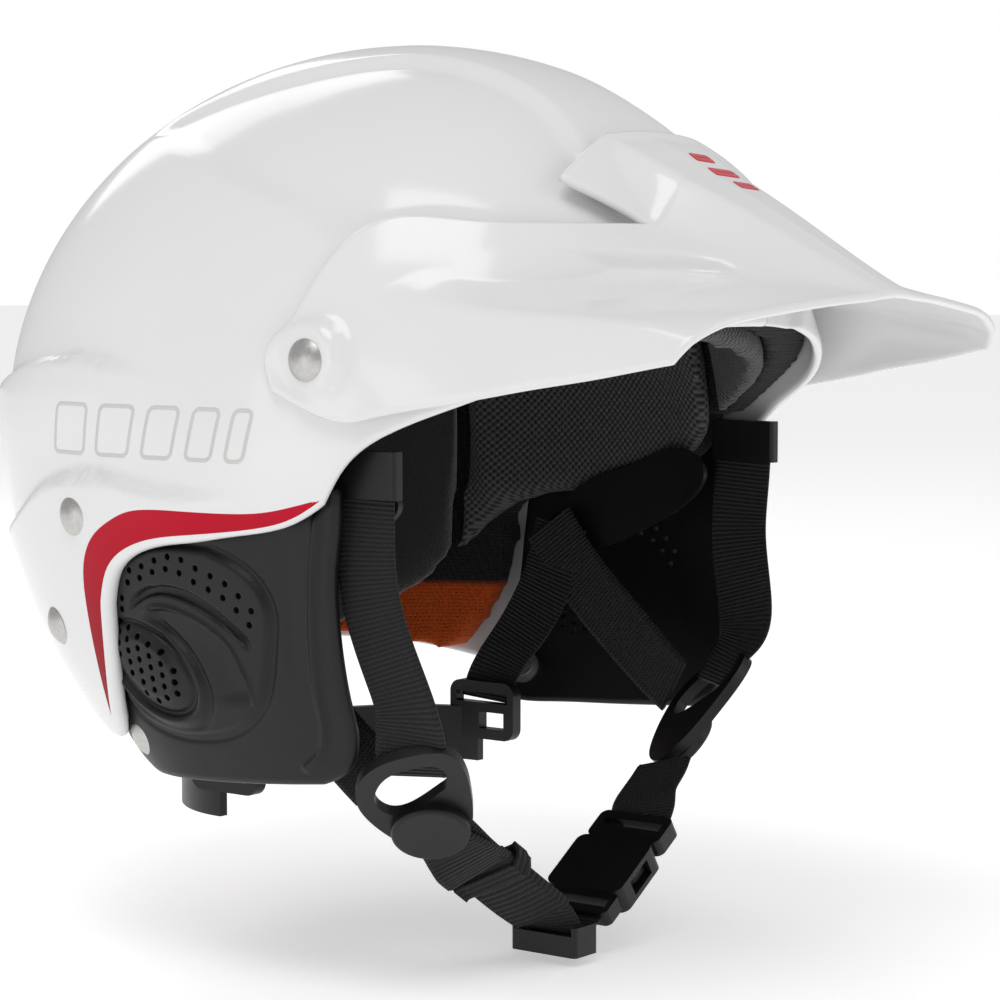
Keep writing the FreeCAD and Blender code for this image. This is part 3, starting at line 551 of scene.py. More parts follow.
RIM = rim_curve()
RIM_Y = np.maximum.accumulate(RIM[:, 0])
UPPER_RIDGE = profile([(0, -5), (10, -2), (17, 0), (25, -0.6), (35, -3.5), (50, -10), (70, -13), (90, -14)])
LOWER_RIDGE = profile([(-12, -38), (-6, -37), (3, -36), (11.5, -33.4), (18, -33.5), (26.6, -37), (36, -46),
                       (50, -54), (70, -59), (90, -61)])
SCALLOP_TOP = profile([(-60, 24), (-37, 21.2), (-23, 15.4), (0, 12.6), (22, 14), (44, 19), (69, 25.8),
                       (92, 30), (112, 31.5)])
SCALLOP_LOW = profile([(-30, 50), (-8, 55.3), (2, 58), (18, 54.9), (39, 51.4), (66, 44.6), (90, 38),
                       (112, 31)])


def shell_relief(points):
    """How far the shell stands out from the plain dome: two ridges round the back and a scallop on top."""
    x, y, z = np.abs(points[..., 0]), points[..., 1], points[..., 2]
    azimuth = np.degrees(np.arctan2(y - CENTRE_Y, x))
    upper = UPPER_RIDGE(azimuth)
    lower = LOWER_RIDGE(azimuth)
    fall = np.clip((upper - z) / np.maximum(upper - lower, 1), 0, 1)
    first = UPPER_RIDGE_HEIGHT * ease((azimuth + 2) / 20) * ease((upper - z) / 4.0 + 0.2)
    first *= (1 - ease(fall)) ** 0.7
    under = lower - z
    second = ease((azimuth + 13) / 11) * ease(under / 3.0 + 0.2)
    second *= LOWER_RIDGE_HEIGHT - 0.8 * ease(under / 16)
    spread = np.degrees(np.arctan2(x, z - EQUATOR_Z))
    top, low = SCALLOP_TOP(y), SCALLOP_LOW(y)
    hollow = ease((spread - top) / 5.0 + 0.3) * ease((low - spread) / 6.0 + 0.3) * ease((114 - y) / 16)
    return np.where(z < lower, 0, first) + second - SCALLOP_DEPTH * hollow


def rim_rho(theta):
    """How far down each meridian the shell's edge lies."""
    rho = np.linspace(0.35, 1.556, 1500)[None, :]
    points = dome_point(theta[:, None], rho, 0.0)
    room = points[..., 2] - np.interp(points[..., 1], RIM_Y, RIM[:, 1])
    first = np.argmax(room < 0, axis=1)
    index = np.arange(len(theta))
    high, low = room[index, first - 1], room[index, first]
    share = high / (high - low)
    return rho[0, first - 1] + share * (rho[0, first] - rho[0, first - 1])


def shell_columns():
    """Meridians spaced by the length of the rim between them, so that steep parts of the edge stay smooth."""
    theta = np.linspace(0, 180, 1441)
    rho = rim_rho(theta)
    edge = dome_point(theta, rho, 0.0)
    steps = np.linalg.norm(np.diff(edge, axis=0), axis=1)
    steps = steps / steps.sum() + 0.6 / len(steps)
    travelled = np.concatenate([[0], np.cumsum(steps)])
    half = np.interp(np.linspace(0, travelled[-1], SHELL_COLUMNS), travelled, theta)
    return np.concatenate([half, 360 - half[-2:0:-1]])


def build_shell():
    theta = shell_columns()
    rim = rim_rho(np.minimum(theta, 360 - theta)) - 1.5 / SKIRT_REACH
    share = np.linspace(0.004, 1, SHELL_ROWS)[:, None]
    rho = share * rim[None, :]
    plain = dome_point(theta[None, :], rho, 0.0)
    relief = shell_relief(plain)
    outer = dome_point(theta[None, :], rho, relief)
    inner = dome_point(theta[None, :], rho, np.minimum(-SHELL_WALL, relief - SHELL_THINNEST))
    columns = len(theta)
    faces = grid_faces(SHELL_ROWS, columns, wrap=True)
    faces.append(tuple(range(columns))[::-1])
    points = outer.reshape(-1, 3)
    shell = thicken("shell_skin", points, faces, inner=inner.reshape(-1, 3), rim_steps=5)
    lower_edge = RIM[(RIM[:, 0] > -2.5) & (RIM[:, 0] < 81)][::-1]
    outline = np.concatenate([spline(STRIPE_EDGE, 80), lower_edge])
    store(shell, "stripe", signed_distance(points[:, 1], points[:, 2], outline))
    return dress(shell, "helmet", "shell_white", "outer_shell")


SHELL = build_shell()


# ---------------------------------------------------------------- visor

# Ribs of the brim from front to back, each (x, y, z) from the middle line out to the lower edge:
# middle, shoulder and foot of the raised centre, four points over the wing, crease, side, lower edge.
VISOR_RIBS = [
    [(0, -117.4, 18.5), (6, -117.2, 18.3), (12, -116.6, 17.7), (25, -114.4, 16.9), (45, -111, 15.0),
     (60, -108.6, 13.3), (72, -106.4, 11), (80, -104.6, 7.8), (83, -102.8, 4.8), (84.8, -100.8, 1.6)],
    [(0, -105, 25.4), (8.5, -105, 24.6), (17.5, -105, 20.6), (28, -103, 19.2), (45.5, -100, 17.0),
     (60, -97.5, 15.0), (72.5, -95.5, 12.8), (82, -95, 9.8), (84.8, -94.5, 5), (86.4, -94, 0.2)],
    [(0, -85, 36.8), (12, -85, 35.8), (24, -85, 28), (34, -84, 24.0), (48, -82, 20.6),
     (62, -78, 17.4), (74.5, -76, 14.8), (85.8, -78, 11.6), (88.6, -78, 5), (90.6, -78, -3)],
    [(0, -70, 45.0), (14.8, -70, 44.0), (27.6, -70, 32.6), (38, -69, 29.0), (51, -67, 24.6),
     (64, -62, 20.4), (76.5, -58, 17), (88.2, -62, 12.8), (91.2, -60, 5), (93.8, -60, -6)],
    [(0, -61.5, 49.2), (16.8, -61.5, 48.2), (29, -61.5, 35.6), (36.5, -60, 33), (52.5, -56.5, 28.8),
     (67, -49, 24.2), (79.5, -40, 20.4), (91.2, -43, 14.0), (95, -41, 4), (98, -42, -9.4)],
    [(0, -59, 50.4), (17.2, -59, 49.4), (29.2, -59, 35.9), (36, -57, 34.4), (54, -51.6, 32.4),
     (71.5, -38, 30.4), (86.5, -24, 27), (98, -14, 16.2), (103.4, -12, 3), (103.2, -17, -14.2)],
    [(0, -58, 50.9), (17.4, -58, 49.9), (29.3, -58, 36.0), (35.5, -56, 35.2), (55, -48.6, 34.8),
     (74.5, -32, 34.6), (88.5, -13, 31.5), (103, -1, 14), (107.3, 0.5, 0), (106, -5, -14.4)],
    [(0, -57.5, 51.2), (17.5, -57.5, 50.2), (29.4, -57.5, 36.2), (35, -55.2, 35.8), (55.6, -46.4, 35.8),
     (75.6, -29.2, 36.6), (88, -9, 36.5), (104.6, 6.4, 10.5), (107.6, 13.3, 1.5), (107.4, 10.5, -7.8)],
]
# The raised centre runs on behind the wings as a free lobe over the shell: middle, shoulder, lower edge.
LOBE_RIBS = [
    [(0, -50, 55.5), (19, -50, 54.4), (35.6, -49.6, 41.0)],
    [(0, -43, 59.4), (20.7, -43, 58.3), (43.0, -43, 45.6)],
    [(0, -38.5, 61.6), (21.7, -38.6, 60.5), (46.0, -40, 47.8)],
    [(0, -36.6, 62.6), (22.2, -36.8, 61.4), (46.4, -39.0, 48.4)],
]
SPAN_COLUMNS = (14, 18, 46, 18)
VISOR_WALL = 2.4
VISOR_GAP = 0.6
BOSS_RADIUS = 12.5
BOSS_BLEND = 3.5
BOSS_FACE_X = 108.9
VISOR_ROWS = 96
LOBE_ROWS = 22
VISOR_TILTS = (-3.0, 0.0, 3.0, 6.0)


def softened(path, radius):
    """A polyline with its corners rounded, its ends kept."""
    lengths = np.concatenate([[0], np.cumsum(np.linalg.norm(np.diff(path, axis=0), axis=1))])
    gap = lengths[:, None] - lengths[None, :]
    reach = np.minimum(np.minimum(lengths, lengths[-1] - lengths), 3 * radius) / 3 + 1e-3
    weights = np.exp(-0.5 * (gap / reach[:, None]) ** 2)
    spacing = np.gradient(lengths)
    weights = weights * spacing[None, :]
    return (weights / weights.sum(1, keepdims=True)) @ path


def across_rib(keys, lobe=False):
    """Points over one rib from the middle line to its edge, with the same number of points in every span."""
    keys = np.array(keys, float)
    fine = 4
    spans = [spline(keys[0:2], SPAN_COLUMNS[0] * fine + 1)[:-1]]
    spans.append(spline(keys[1:3], SPAN_COLUMNS[1] * fine + 1))
    if not lobe:
        spans[1] = spans[1][:-1]
        spans.append(spline(keys[2:8], SPAN_COLUMNS[2] * fine + 1)[:-1])
        spans.append(spline(keys[7:10], SPAN_COLUMNS[3] * fine + 1))
    return softened(np.concatenate(spans), 1.5)[::fine]


def push_off_dome(points, gap):
    """Moves points that would touch the shell, at rest or tilted, out to a gap from it."""
    limit = 1 + gap / 115.0
    for tilt in VISOR_TILTS * 2:
        turn = math.radians(tilt)
        y = points[:, 1] * math.cos(turn) - points[:, 2] * math.sin(turn)
        z = points[:, 1] * math.sin(turn) + points[:, 2] * math.cos(turn)
        x = points[:, 0]
        wide = np.abs(x / HALF_WIDTH) ** PLAN_POWER
        long = np.abs((y - CENTRE_Y) / HALF_LENGTH) ** PLAN_POWER
        plan = (wide + long) ** (1 / PLAN_POWER)
        rise = np.maximum(z - EQUATOR_Z, 0) / CROWN_HEIGHT
        size = np.hypot(plan, rise)
        grow = np.maximum(limit / size, 1)
        x = x * grow
        y = CENTRE_Y + (y - CENTRE_Y) * grow
        z = np.where(z > EQUATOR_Z, EQUATOR_Z + (z - EQUATOR_Z) * grow, z)
        back_y = y * math.cos(turn) + z * math.sin(turn)
        back_z = z * math.cos(turn) - y * math.sin(turn)
        points = np.stack([x, back_y, back_z], axis=1)
    return points


def whole_width(half_rows):
    """Rows from one lower edge over the middle to the other, from rows that start at the middle."""
    twin = half_rows[:, :0:-1] * np.array([-1.0, 1.0, 1.0])
    return np.concatenate([twin, half_rows], axis=1)


# The long scoop on each wing in side view (y, z), tip to tip: its sharp upper edge and soft lower edge.
SCOOP_TOP = [(-30, 28.5), (-42, 29.5), (-62, 29), (-80, 27), (-95, 21)]
SCOOP_FOOT = [(-30, 28.5), (-38, 22), (-52, 17.5), (-66, 16), (-82, 17), (-95, 21)]
SCOOP_DEPTH = 4.6


def scoop_wings(points):
    """Presses a leaf-shaped hollow, deepest under its upper edge, into each wing."""
    y, z = points[:, 1], points[:, 2]
    below_top, along = to_curve(-y, z, [(-py, pz) for py, pz in SCOOP_TOP])
    above_foot, _ = to_curve(-y, z, [(-py, pz) for py, pz in SCOOP_FOOT])
    ends = np.sqrt(np.sin(math.pi * np.clip(along, 0, 1)))
    red_with_painted_shade = SCOOP_DEPTH * ease(-below_top / 1.6) * ease(above_foot / 10) * ends
    wing = ease((np.abs(points[:, 0]) - 24) / 8)
    lean = np.stack([-np.sign(points[:, 0]) * 0.72, np.zeros_like(y), np.full_like(y, -0.69)], axis=1)
    return points + lean * (red_with_painted_shade * wing)[:, None]


def build_visor():
    ribs = np.array([across_rib(keys) for keys in VISOR_RIBS])
    middle = np.linalg.norm(np.diff(ribs, axis=0), axis=2).mean(axis=1)
    knots = np.concatenate([[0], np.cumsum(middle)])
    brim = whole_width(spline_at(ribs, knots, VISOR_ROWS))
    foot = SPAN_COLUMNS[0] + SPAN_COLUMNS[1]
    half_lobe = np.array([across_rib(keys, lobe=True) for keys in LOBE_RIBS])
    start = ribs[-1][None, :foot + 1]
    before = ribs[-3][None, :foot + 1]
    stations = np.concatenate([before, start, half_lobe])
    lengths = np.concatenate([[0], np.cumsum(np.linalg.norm(np.diff(stations, axis=0), axis=2).mean(axis=1))])
    fine = spline_at(stations, lengths, 200)
    begin = np.searchsorted(np.linspace(0, lengths[-1], 200), lengths[1])
    picked = np.linspace(begin, 199, LOBE_ROWS).astype(int)
    lobe = whole_width(fine[picked])[1:]
    columns = brim.shape[1]
    lobe_columns = lobe.shape[1]
    side = (columns - lobe_columns) // 2
    points = np.concatenate([brim.reshape(-1, 3), lobe.reshape(-1, 3)])
    faces = grid_faces(VISOR_ROWS, columns)
    seam = [(VISOR_ROWS - 1) * columns + side + i for i in range(lobe_columns)]
    base = VISOR_ROWS * columns
    for row in range(LOBE_ROWS - 1):
        below = seam if row == 0 else [base + (row - 1) * lobe_columns + i for i in range(lobe_columns)]
        above = [base + row * lobe_columns + i for i in range(lobe_columns)]
        for i in range(lobe_columns - 1):
            faces.append((below[i], below[i + 1], above[i + 1], above[i]))
    points = scoop_wings(points)
    points = push_off_dome(points, VISOR_WALL + VISOR_GAP)
    away = np.hypot(points[:, 1], points[:, 2])
    boss = ease((BOSS_RADIUS - away) / BOSS_BLEND)
    points[:, 0] = np.sign(points[:, 0]) * (np.abs(points[:, 0]) * (1 - boss) + BOSS_FACE_X * boss)
    visor = thicken("visor_skin", points, faces, wall=VISOR_WALL)
    return dress(visor, "visor", "visor_white", "visor")


VISOR = build_visor()


# ---------------------------------------------------------------- painted marks

# Side bars: middle height, bar height and slant, then each bar's (middle y, length).
SIDE_MARK_Z = -21
SIDE_MARK_HEIGHT = 15
SIDE_MARK_SLANT = -0.25
SIDE_MARK_LINE = 1.0
SIDE_MARKS = [(87, 15), (68, 14), (50.5, 12), (35, 10), (22.5, 7)]
VISOR_MARK_X = 8
VISOR_MARK_HEIGHT = 4.2
VISOR_MARKS = [(-49, 10), (-56.5, 13), (-64, 10)]
FILM_PROUD = 0.09
FILM_ROOT = -0.2
OUTLINE_POINTS = 96


def slanted_bar(middle, length, height, slant, inset=0.0, corner=2.4):
    """Outline of a slanted bar with round corners, as (u, v) points."""
    half_u, half_v = length / 2 - inset, height / 2 - inset
    round_by = max(corner - inset, 0.3)
    outline = []
    for turn, (su, sv) in enumerate(((1, 1), (-1, 1), (-1, -1), (1, -1))):
        for step in range(7):
            angle = math.pi / 2 * (turn + step / 6)
            u = su * (half_u - round_by) + round_by * math.cos(angle)
            v = sv * (half_v - round_by) + round_by * math.sin(angle)
            outline.append((middle[0] + u + v * slant, middle[1] + v))
    return evenly(outline, OUTLINE_POINTS)


def evenly(outline, count):
    """The same closed outline with points spaced evenly along it."""
    closed = np.array(outline + outline[:1], float)
    travelled = np.concatenate([[0], np.cumsum(np.linalg.norm(np.diff(closed, axis=0), axis=1))])
    at = np.linspace(0, travelled[-1], count, endpoint=False)
    even = np.stack([np.interp(at, travelled, closed[:, i]) for i in (0, 1)], axis=1)
    return [tuple(place) for place in even]


def landed(host, start, direction, lift):
    """A point on the host's skin straight ahead of a start point, lifted back off it."""
    found, place, normal, _ = host.ray_cast(Vector(start) * MM, Vector(direction))
    return (place / MM + normal * lift) if found else Vector(start)


def paint_bar(name, host, outer, inner, to_start, direction):
    """A thin raised film between two outlines laid on the host."""
    rings = [outer] + [[tuple(np.add(np.multiply(a, 1 - share), np.multiply(b, share)))
                        for a, b in zip(outer, inner)] for share in (0.5, 1.0)]
    skin = [landed(host, to_start(*place), direction, FILM_PROUD) for ring in rings for place in ring]
    under = [landed(host, to_start(*place), direction, FILM_ROOT) for ring in rings for place in ring]
    faces = grid_faces(len(rings), len(outer), wrap=True)
    return thicken(name, np.array(skin), faces, inner=np.array(under), rim_steps=1)


def build_marks():
    """Plain slanted bars of ink, which has no slot in the record, where the helmet carries printed marks."""
    for index, (middle_y, length) in enumerate(SIDE_MARKS):
        shape = ((middle_y, SIDE_MARK_Z), length, SIDE_MARK_HEIGHT, SIDE_MARK_SLANT)
        outer = slanted_bar(*shape)
        inner = slanted_bar(*shape, inset=SIDE_MARK_LINE)
        for side_name, sign in (("right", -1), ("left", 1)):
            outlines = (outer, inner) if sign > 0 else (outer[::-1], inner[::-1])
            bar = paint_bar("%s_mark_%d" % (side_name, index), SHELL, *outlines,
                            lambda y, z: (sign * 180, y, z), (-sign, 0, 0))
            coat(bar, "helmet", "mark_grey")
    for index, (middle_y, length) in enumerate(VISOR_MARKS):
        shape = ((VISOR_MARK_X, middle_y), length, VISOR_MARK_HEIGHT, 0.3)
        outer = slanted_bar(*shape, corner=1.2)
        inner = slanted_bar(*shape, inset=2.0, corner=1.2)
        bar = paint_bar("visor_mark_%d" % index, VISOR, outer, inner, lambda x, y: (x, y, 160), (0, 0, -1))
        coat(bar, "visor", "mark_red")


build_marks()


# ---------------------------------------------------------------- ear guards

# The guard's outline in side view (y, z), front edge first, then bottom, rear and hidden top.
GUARD_RUNS = [
    [(-3.0, -36), (-2.4, -46), (-0.8, -57), (-0.2, -68), (-0.4, -84), (-1.2, -95), (-1.8, -104),
     (0.5, -111), (9, -116)],
    [(9, -116), (25, -117.4), (50, -119), (66, -119.6), (78, -118.6), (85, -114), (86.5, -107)],
    [(86.5, -107), (84, -98), (82, -84), (82, -68)],
    [(82, -68), (81, -44)],
    [(81, -44), (60, -41), (30, -39), (10, -35), (-3.0, -36)],
]
GUARD_MIDDLE = (42.0, -80.0)
GUARD_WALL = 3.4
GUARD_OFFSET = -3.4
GUARD_COLUMNS = 420
GUARD_ROWS = 90
OVAL_OUTLINE = [(37.5, -52.5), (27.4, -56.2), (20.5, -61.3), (16.8, -69.3), (17.6, -78.2), (19.2, -86),
                (21.6, -93), (26, -99), (33, -104), (43.6, -107), (54.3, -107.6), (66.4, -105.4),
                (77, -99), (81, -86), (80, -70), (72, -58.5), (54, -52.5), (37.5, -52.5)]
GROOVE_TOP = [(69.6, -72.5), (66, -67.6), (59.9, -64.6), (52.8, -63.8), (45.3, -64.8), (38.3, -67.4),
              (31.7, -71.4), (26, -75.4), (21.8, -79.9)]
GROOVE_FOOT = [(67.5, -72.2), (61.1, -68.2), (54.7, -67.0), (47.2, -68), (39.5, -70.8), (32.1, -74.9),
               (27.2, -79), (23, -83.4)]
CRESCENT = [(65.4, -74), (60, -71.1), (53.6, -70.4), (47.7, -71.4), (42, -73.2), (35.9, -76.1), (31.4, -79.7),
            (28.2, -85.6), (26.2, -90.5), (25.4, -98)]
BEAD = [(0.8, -36), (1.6, -46), (2.8, -54), (4.2, -67.6), (5.2, -84), (4.9, -94), (4.6, -101), (6.6, -108),
        (12, -113)]
HUB = (63.0, -88.2)
HUB_SIZE = (16.8, 10.2)
HUB_LEAN = math.radians(29)
SOUND_HOLE = 0.95
# The block of holes on the hub: the first column's y, the steps between columns and rows, how each column
# rakes, and each column's (highest z, number of holes). Then the two arcs of eleven and two odd holes.
HOLE_BLOCK_Y = 74.2
HOLE_COLUMN_STEP = 4.35
HOLE_ROW_STEP = 3.25
HOLE_RAKE = 0.15
HOLE_BLOCK = [(-75.4, 4), (-77.2, 5), (-79.4, 6), (-81.3, 6), (-83.2, 5), (-88.2, 3)]
HOLE_ARCS = [
    [(72.3, -61.6), (60.8, -58.7), (49.1, -55.6), (39.7, -58.8), (30.4, -62.2), (22.4, -69.1)],
    [(73.3, -65.4), (62.6, -62.3), (50.7, -59.2), (41.5, -62.4), (31.8, -66), (23.5, -73.1)],
]
HOLES_IN_ARC = 11
ODD_HOLES = [(71.3, -68.8), (71.8, -72)]


def hub_radius(y, z):
    """1 on the hub's tilted oval edge, 0 at its middle."""
    dy, dz = y - HUB[0], z - HUB[1]
    major = dy * math.cos(HUB_LEAN) + dz * math.sin(HUB_LEAN)
    minor = -dy * math.sin(HUB_LEAN) + dz * math.cos(HUB_LEAN)
    return np.hypot(major / HUB_SIZE[0], minor / HUB_SIZE[1])


def guard_relief(y, z):
    """Mouldings on the guard's outside: oval, sweeping grooves, hub, rear ring and front bead."""
    oval = signed_distance(y, z, spline(OVAL_OUTLINE, 120)).reshape(np.shape(y))
    height = 1.5 * ease(oval / 2.2) - 0.6 * np.exp(-((oval + 0.6) / 0.9) ** 2)
    top, top_at = to_curve(y, z, GROOVE_TOP)
    foot, _ = to_curve(y, z, GROOVE_FOOT)
    ends = ease(top_at * 7) * ease((1 - top_at) * 7)
    height -= 1.9 * ease(top / 0.5) * ease(-foot / 0.5) * ends
    rise, rise_at = to_curve(y, z, CRESCENT)
    rise_ends = ease(rise_at * 6) * ease((1 - rise_at) * 8)
    dish = 1.5 * ease(rise / 1.2) * (1 - ease((rise - 5) / 13))
    height += (0.9 * np.exp(-(rise / 0.7) ** 2) - dish) * rise_ends
    hub = hub_radius(y, z)
    height += 2.4 * ease((1.0 - hub) / 0.6) - 1.2 * np.exp(-((hub - 1.06) / 0.07) ** 2)
    below = ease((68 - y + (-78 - z)) / 12)
    height += below * (0.9 * np.exp(-((hub - 1.24) / 0.09) ** 2) - 0.7 * np.exp(-((hub - 1.42) / 0.08) ** 2))
    bead, _ = to_curve(y, z, BEAD)
    height += 1.3 * np.exp(-(bead / 1.1) ** 2)
    valley = np.exp(-((y - 11.5) / 3.2) ** 2) * ease((z + 96) / 20)
    return height - 0.5 * valley


def sound_holes():
    """Centres of the holes through a guard (y, z): a raked block on the hub and two arcs over the oval."""
    places = []
    for column, (first_z, count) in enumerate(HOLE_BLOCK):
        for row in range(count):
            y = HOLE_BLOCK_Y - HOLE_COLUMN_STEP * column - HOLE_RAKE * row
            places.append((y, first_z - HOLE_ROW_STEP * row))
    for arc in HOLE_ARCS:
        places += [tuple(place) for place in spline(arc, HOLES_IN_ARC)]
    places += ODD_HOLES
    return places


def guard_sheet(name):
    """The right guard as a closed sheet on a fan of rays from its middle."""
    runs = [spline(run, 200) if len(run) > 2 else np.linspace(run[0], run[1], 60) for run in GUARD_RUNS]
    outline = [tuple(place) for run in runs for place in run[:-1]]
    edge = np.array(evenly(outline, GUARD_COLUMNS))
    share = np.linspace(0.01, 1, GUARD_ROWS)[:, None]
    y = GUARD_MIDDLE[0] + share * (edge[None, :, 0] - GUARD_MIDDLE[0])
    z = GUARD_MIDDLE[1] + share * (edge[None, :, 1] - GUARD_MIDDLE[1])
    relief = guard_relief(y, z)
    under_shell = ease((z - np.interp(y, RIM_Y, RIM[:, 1]) + 2) / 3) * (y < 83)
    relief = relief * (1 - under_shell) - 0.25 * under_shell
    x_out = flank(y, z, GUARD_OFFSET) + np.minimum(relief, 3.0)
    x_in = flank(y, z, GUARD_OFFSET - GUARD_WALL)
    outer = np.stack([-x_out, y, z], axis=2).reshape(-1, 3)
    inner = np.stack([-x_in, y, z], axis=2).reshape(-1, 3)
    faces = grid_faces(GUARD_ROWS, GUARD_COLUMNS, wrap=True)
    faces.append(tuple(range(GUARD_COLUMNS))[::-1])
    return thicken(name, outer, faces, inner=inner, rim_steps=3)


def build_guards():
    right = guard_sheet("right_guard_moulding")
    drills = [tube("drill", (-125, y, z), (-60, y, z), SOUND_HOLE, 12) for y, z in sound_holes()]
    boolean_cut(right, joined("drills", drills))
    left = bpy.data.objects.new("left_guard_moulding", right.data.copy())
    bpy.context.scene.collection.objects.link(left)
    left.data.transform(Matrix.Scale(-1, 4, (1, 0, 0)))
    left.data.flip_normals()
    dress(right, "helmet", "guard_black", "right_ear_guard")
    dress(left, "helmet", "guard_black", "left_ear_guard")


build_guards()


# ---------------------------------------------------------------- webbing

def frames_along(centres, across):
    """Unit side and normal at each point of a strap's middle line."""
    along = np.gradient(centres, axis=0)
    along /= np.linalg.norm(along, axis=1, keepdims=True)
    side = across - along * np.sum(across * along, axis=1, keepdims=True)
    side /= np.linalg.norm(side, axis=1, keepdims=True)
    return side, np.cross(along, side)


def ribbon(name, stations, width, wall, rib=0.0, pitch=1.3, crown=0.0, taper=None):
    """A strap through stations (centre, width direction), with cross ribs, thick edges and a soft crown.

    Taper gives the width's share at each station."""
    rough = spline([centre for centre, _ in stations], 60)
    length = np.linalg.norm(np.diff(rough, axis=0), axis=1).sum()
    count = max(int(length / (pitch / 4)), 12)
    centres = spline([centre for centre, _ in stations], count)
    steps = [np.linalg.norm(np.subtract(b[0], a[0])) for a, b in zip(stations, stations[1:])]
    knots = np.concatenate([[0], np.cumsum(steps)])
    across = spline_at(np.array([direction for _, direction in stations], float), knots, count)
    side, normal = frames_along(centres, across)
    travelled = np.concatenate([[0], np.cumsum(np.linalg.norm(np.diff(centres, axis=0), axis=1))])
    share = np.interp(np.linspace(0, knots[-1], count), knots, taper) if taper else np.ones(count)
    outline = []
    for u in (-1, -0.97, -0.88, -0.8, -0.6, -0.3, 0, 0.3, 0.6, 0.8, 0.88, 0.97, 1):
        selvedge = 0.25 * math.exp(-((abs(u) - 0.9) / 0.06) ** 2)
        round_off = 1.0 if abs(u) < 0.96 else 0.45
        height = wall / 2 * round_off * (1 + selvedge) + crown * (1 - u * u)
        outline.append((u, height, min(1.0, (1 - abs(u)) * 8)))
    outline += [(u, -height, hold) for u, height, hold in reversed(outline)]
    ring = len(outline)
    wave = rib * np.sin(2 * math.pi * travelled / pitch)
    points = np.zeros((count, ring, 3))
    for k, (u, height, hold) in enumerate(outline):
        offset = height + math.copysign(1, height) * wave * hold
        points[:, k] = centres + side * (u * width / 2 * share)[:, None] + normal * offset[:, None]
    faces = []
    for first in range(0, (count - 1) * ring, ring):
        for k in range(ring):
            beside = first + (k + 1) % ring
            faces.append((first + k, first + ring + k, beside + ring, beside))
    faces.append(tuple(range(ring)))
    faces.append(tuple((count - 1) * ring + k for k in reversed(range(ring))))
    strap = mesh_object(name, points.reshape(-1, 3), faces)
    chart = strap.data.uv_layers.new(name="UVMap")
    corner_points = np.zeros(len(strap.data.loops), int)
    strap.data.loops.foreach_get("vertex_index", corner_points)
    place_u = np.array([u for u, _, _ in outline]) * width / 2
    values = np.stack([place_u[corner_points % ring], travelled[corner_points // ring]], axis=1)
    chart.data.foreach_set("uv", values.ravel())
    return strap


def mirrored_stations(stations, shift=(0.0, 0.0, 0.0)):
    """The same strap on the wearer's left."""
    return [((-x + shift[0], y + shift[1], z + shift[2]), (-a, b, c)) for (x, y, z), (a, b, c) in stations]


FRONT_STRAP = [
    ((-94.5, -9.0, -26.0), (0, -1, 0)),
    ((-94.4, -8.6, -45.0), (0, -1, 0.02)),
    ((-94.0, -9.5, -62.0), (0, -1, 0.1)),
    ((-91.5, -15.5, -84.0), (0, -0.95, 0.25)),
    ((-88.4, -18.6, -98.0), (0.05, -0.93, 0.3)),
    ((-85.0, -16.8, -106.5), (0.14, -0.9, 0.38)),
    ((-80.8, -13.8, -114.0), (0.18, -0.88, 0.44)),
]
RING_LEG = [
    ((-80.0, 58.0, -60.0), (0, 0.8, -0.6)),
    ((-80.8, 44.0, -78.0), (0, 0.75, -0.66)),
    ((-80.6, 22.0, -98.0), (0, 0.72, -0.7)),
    ((-80.8, 7.0, -111.0), (-0.1, 0.76, -0.64)),
    ((-80.4, -0.5, -116.5), (-0.16, 0.82, -0.55)),
]
CRADLE_LEG = [
    ((-81.6, 54.0, -60.0), (0, 0.98, 0.2)),
    ((-79.6, 58.0, -78.0), (0, 0.98, 0.2)),
    ((-73.6, 65.0, -96.0), (0, 0.99, 0.12)),
    ((-66.0, 70.0, -109.0), (0, 1, 0)),
    ((-62.8, 71.0, -117.5), (0, 1, 0)),
]
# The left ring hangs a little in, back and up from the right ring's mirror image.
LEFT_SHIFT = (-4.0, 6.1, 7.3)
WEBBING_WIDTH = 20.0
WEBBING_WALL = 1.5


def eased_twin(stations, shift):
    """A left strap whose lower end moves with the left ring and whose head stays."""
    count = len(stations)
    twin = []
    for i, station in enumerate(stations):
        share = float(ease(i / (count - 1)))
        twin += mirrored_stations([station], tuple(value * share for value in shift))
    return twin


def blend_strap(strap, node_name):
    dress(strap, None, "webbing_black", node_name)
    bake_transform(strap)


def build_straps():
    for side_name, sign in (("right", -1), ("left", 1)):
        front, ring_leg, cradle_leg = FRONT_STRAP, RING_LEG, CRADLE_LEG
        if side_name == "left":
            front = eased_twin(FRONT_STRAP, LEFT_SHIFT)
            ring_leg = eased_twin(RING_LEG, LEFT_SHIFT)
            cradle_leg = mirrored_stations(CRADLE_LEG)
        strap = ribbon(side_name + "_front_webbing", front, WEBBING_WIDTH, WEBBING_WALL, rib=0.07)
        blend_strap(strap, side_name + "_front_strap")
        strap = ribbon(side_name + "_ring_webbing", ring_leg, WEBBING_WIDTH, WEBBING_WALL, rib=0.07)
        blend_strap(strap, side_name + "_rear_strap")
        strap = ribbon(side_name + "_cradle_webbing", cradle_leg, WEBBING_WIDTH, WEBBING_WALL, rib=0.07)
        blend_strap(strap, side_name + "_rear_strap")


build_straps()

# Ring and chin line, as in the CAD source.
RING = np.array([-68.0, -10.1, -129.7])
CHIN_ALONG = np.array([0.792, -0.129, -0.597])
CHIN_ACROSS = (0.18, -0.88, 0.43)
CHIN_OUT = np.array([-0.585, -0.456, -0.672])


def chin(distance, out=0.0, sag=0.0):
    """A point on the chin line, moved out from the face and along it."""
    return tuple(RING + CHIN_ALONG * distance + CHIN_OUT * out + np.array([0, 0, -sag]))


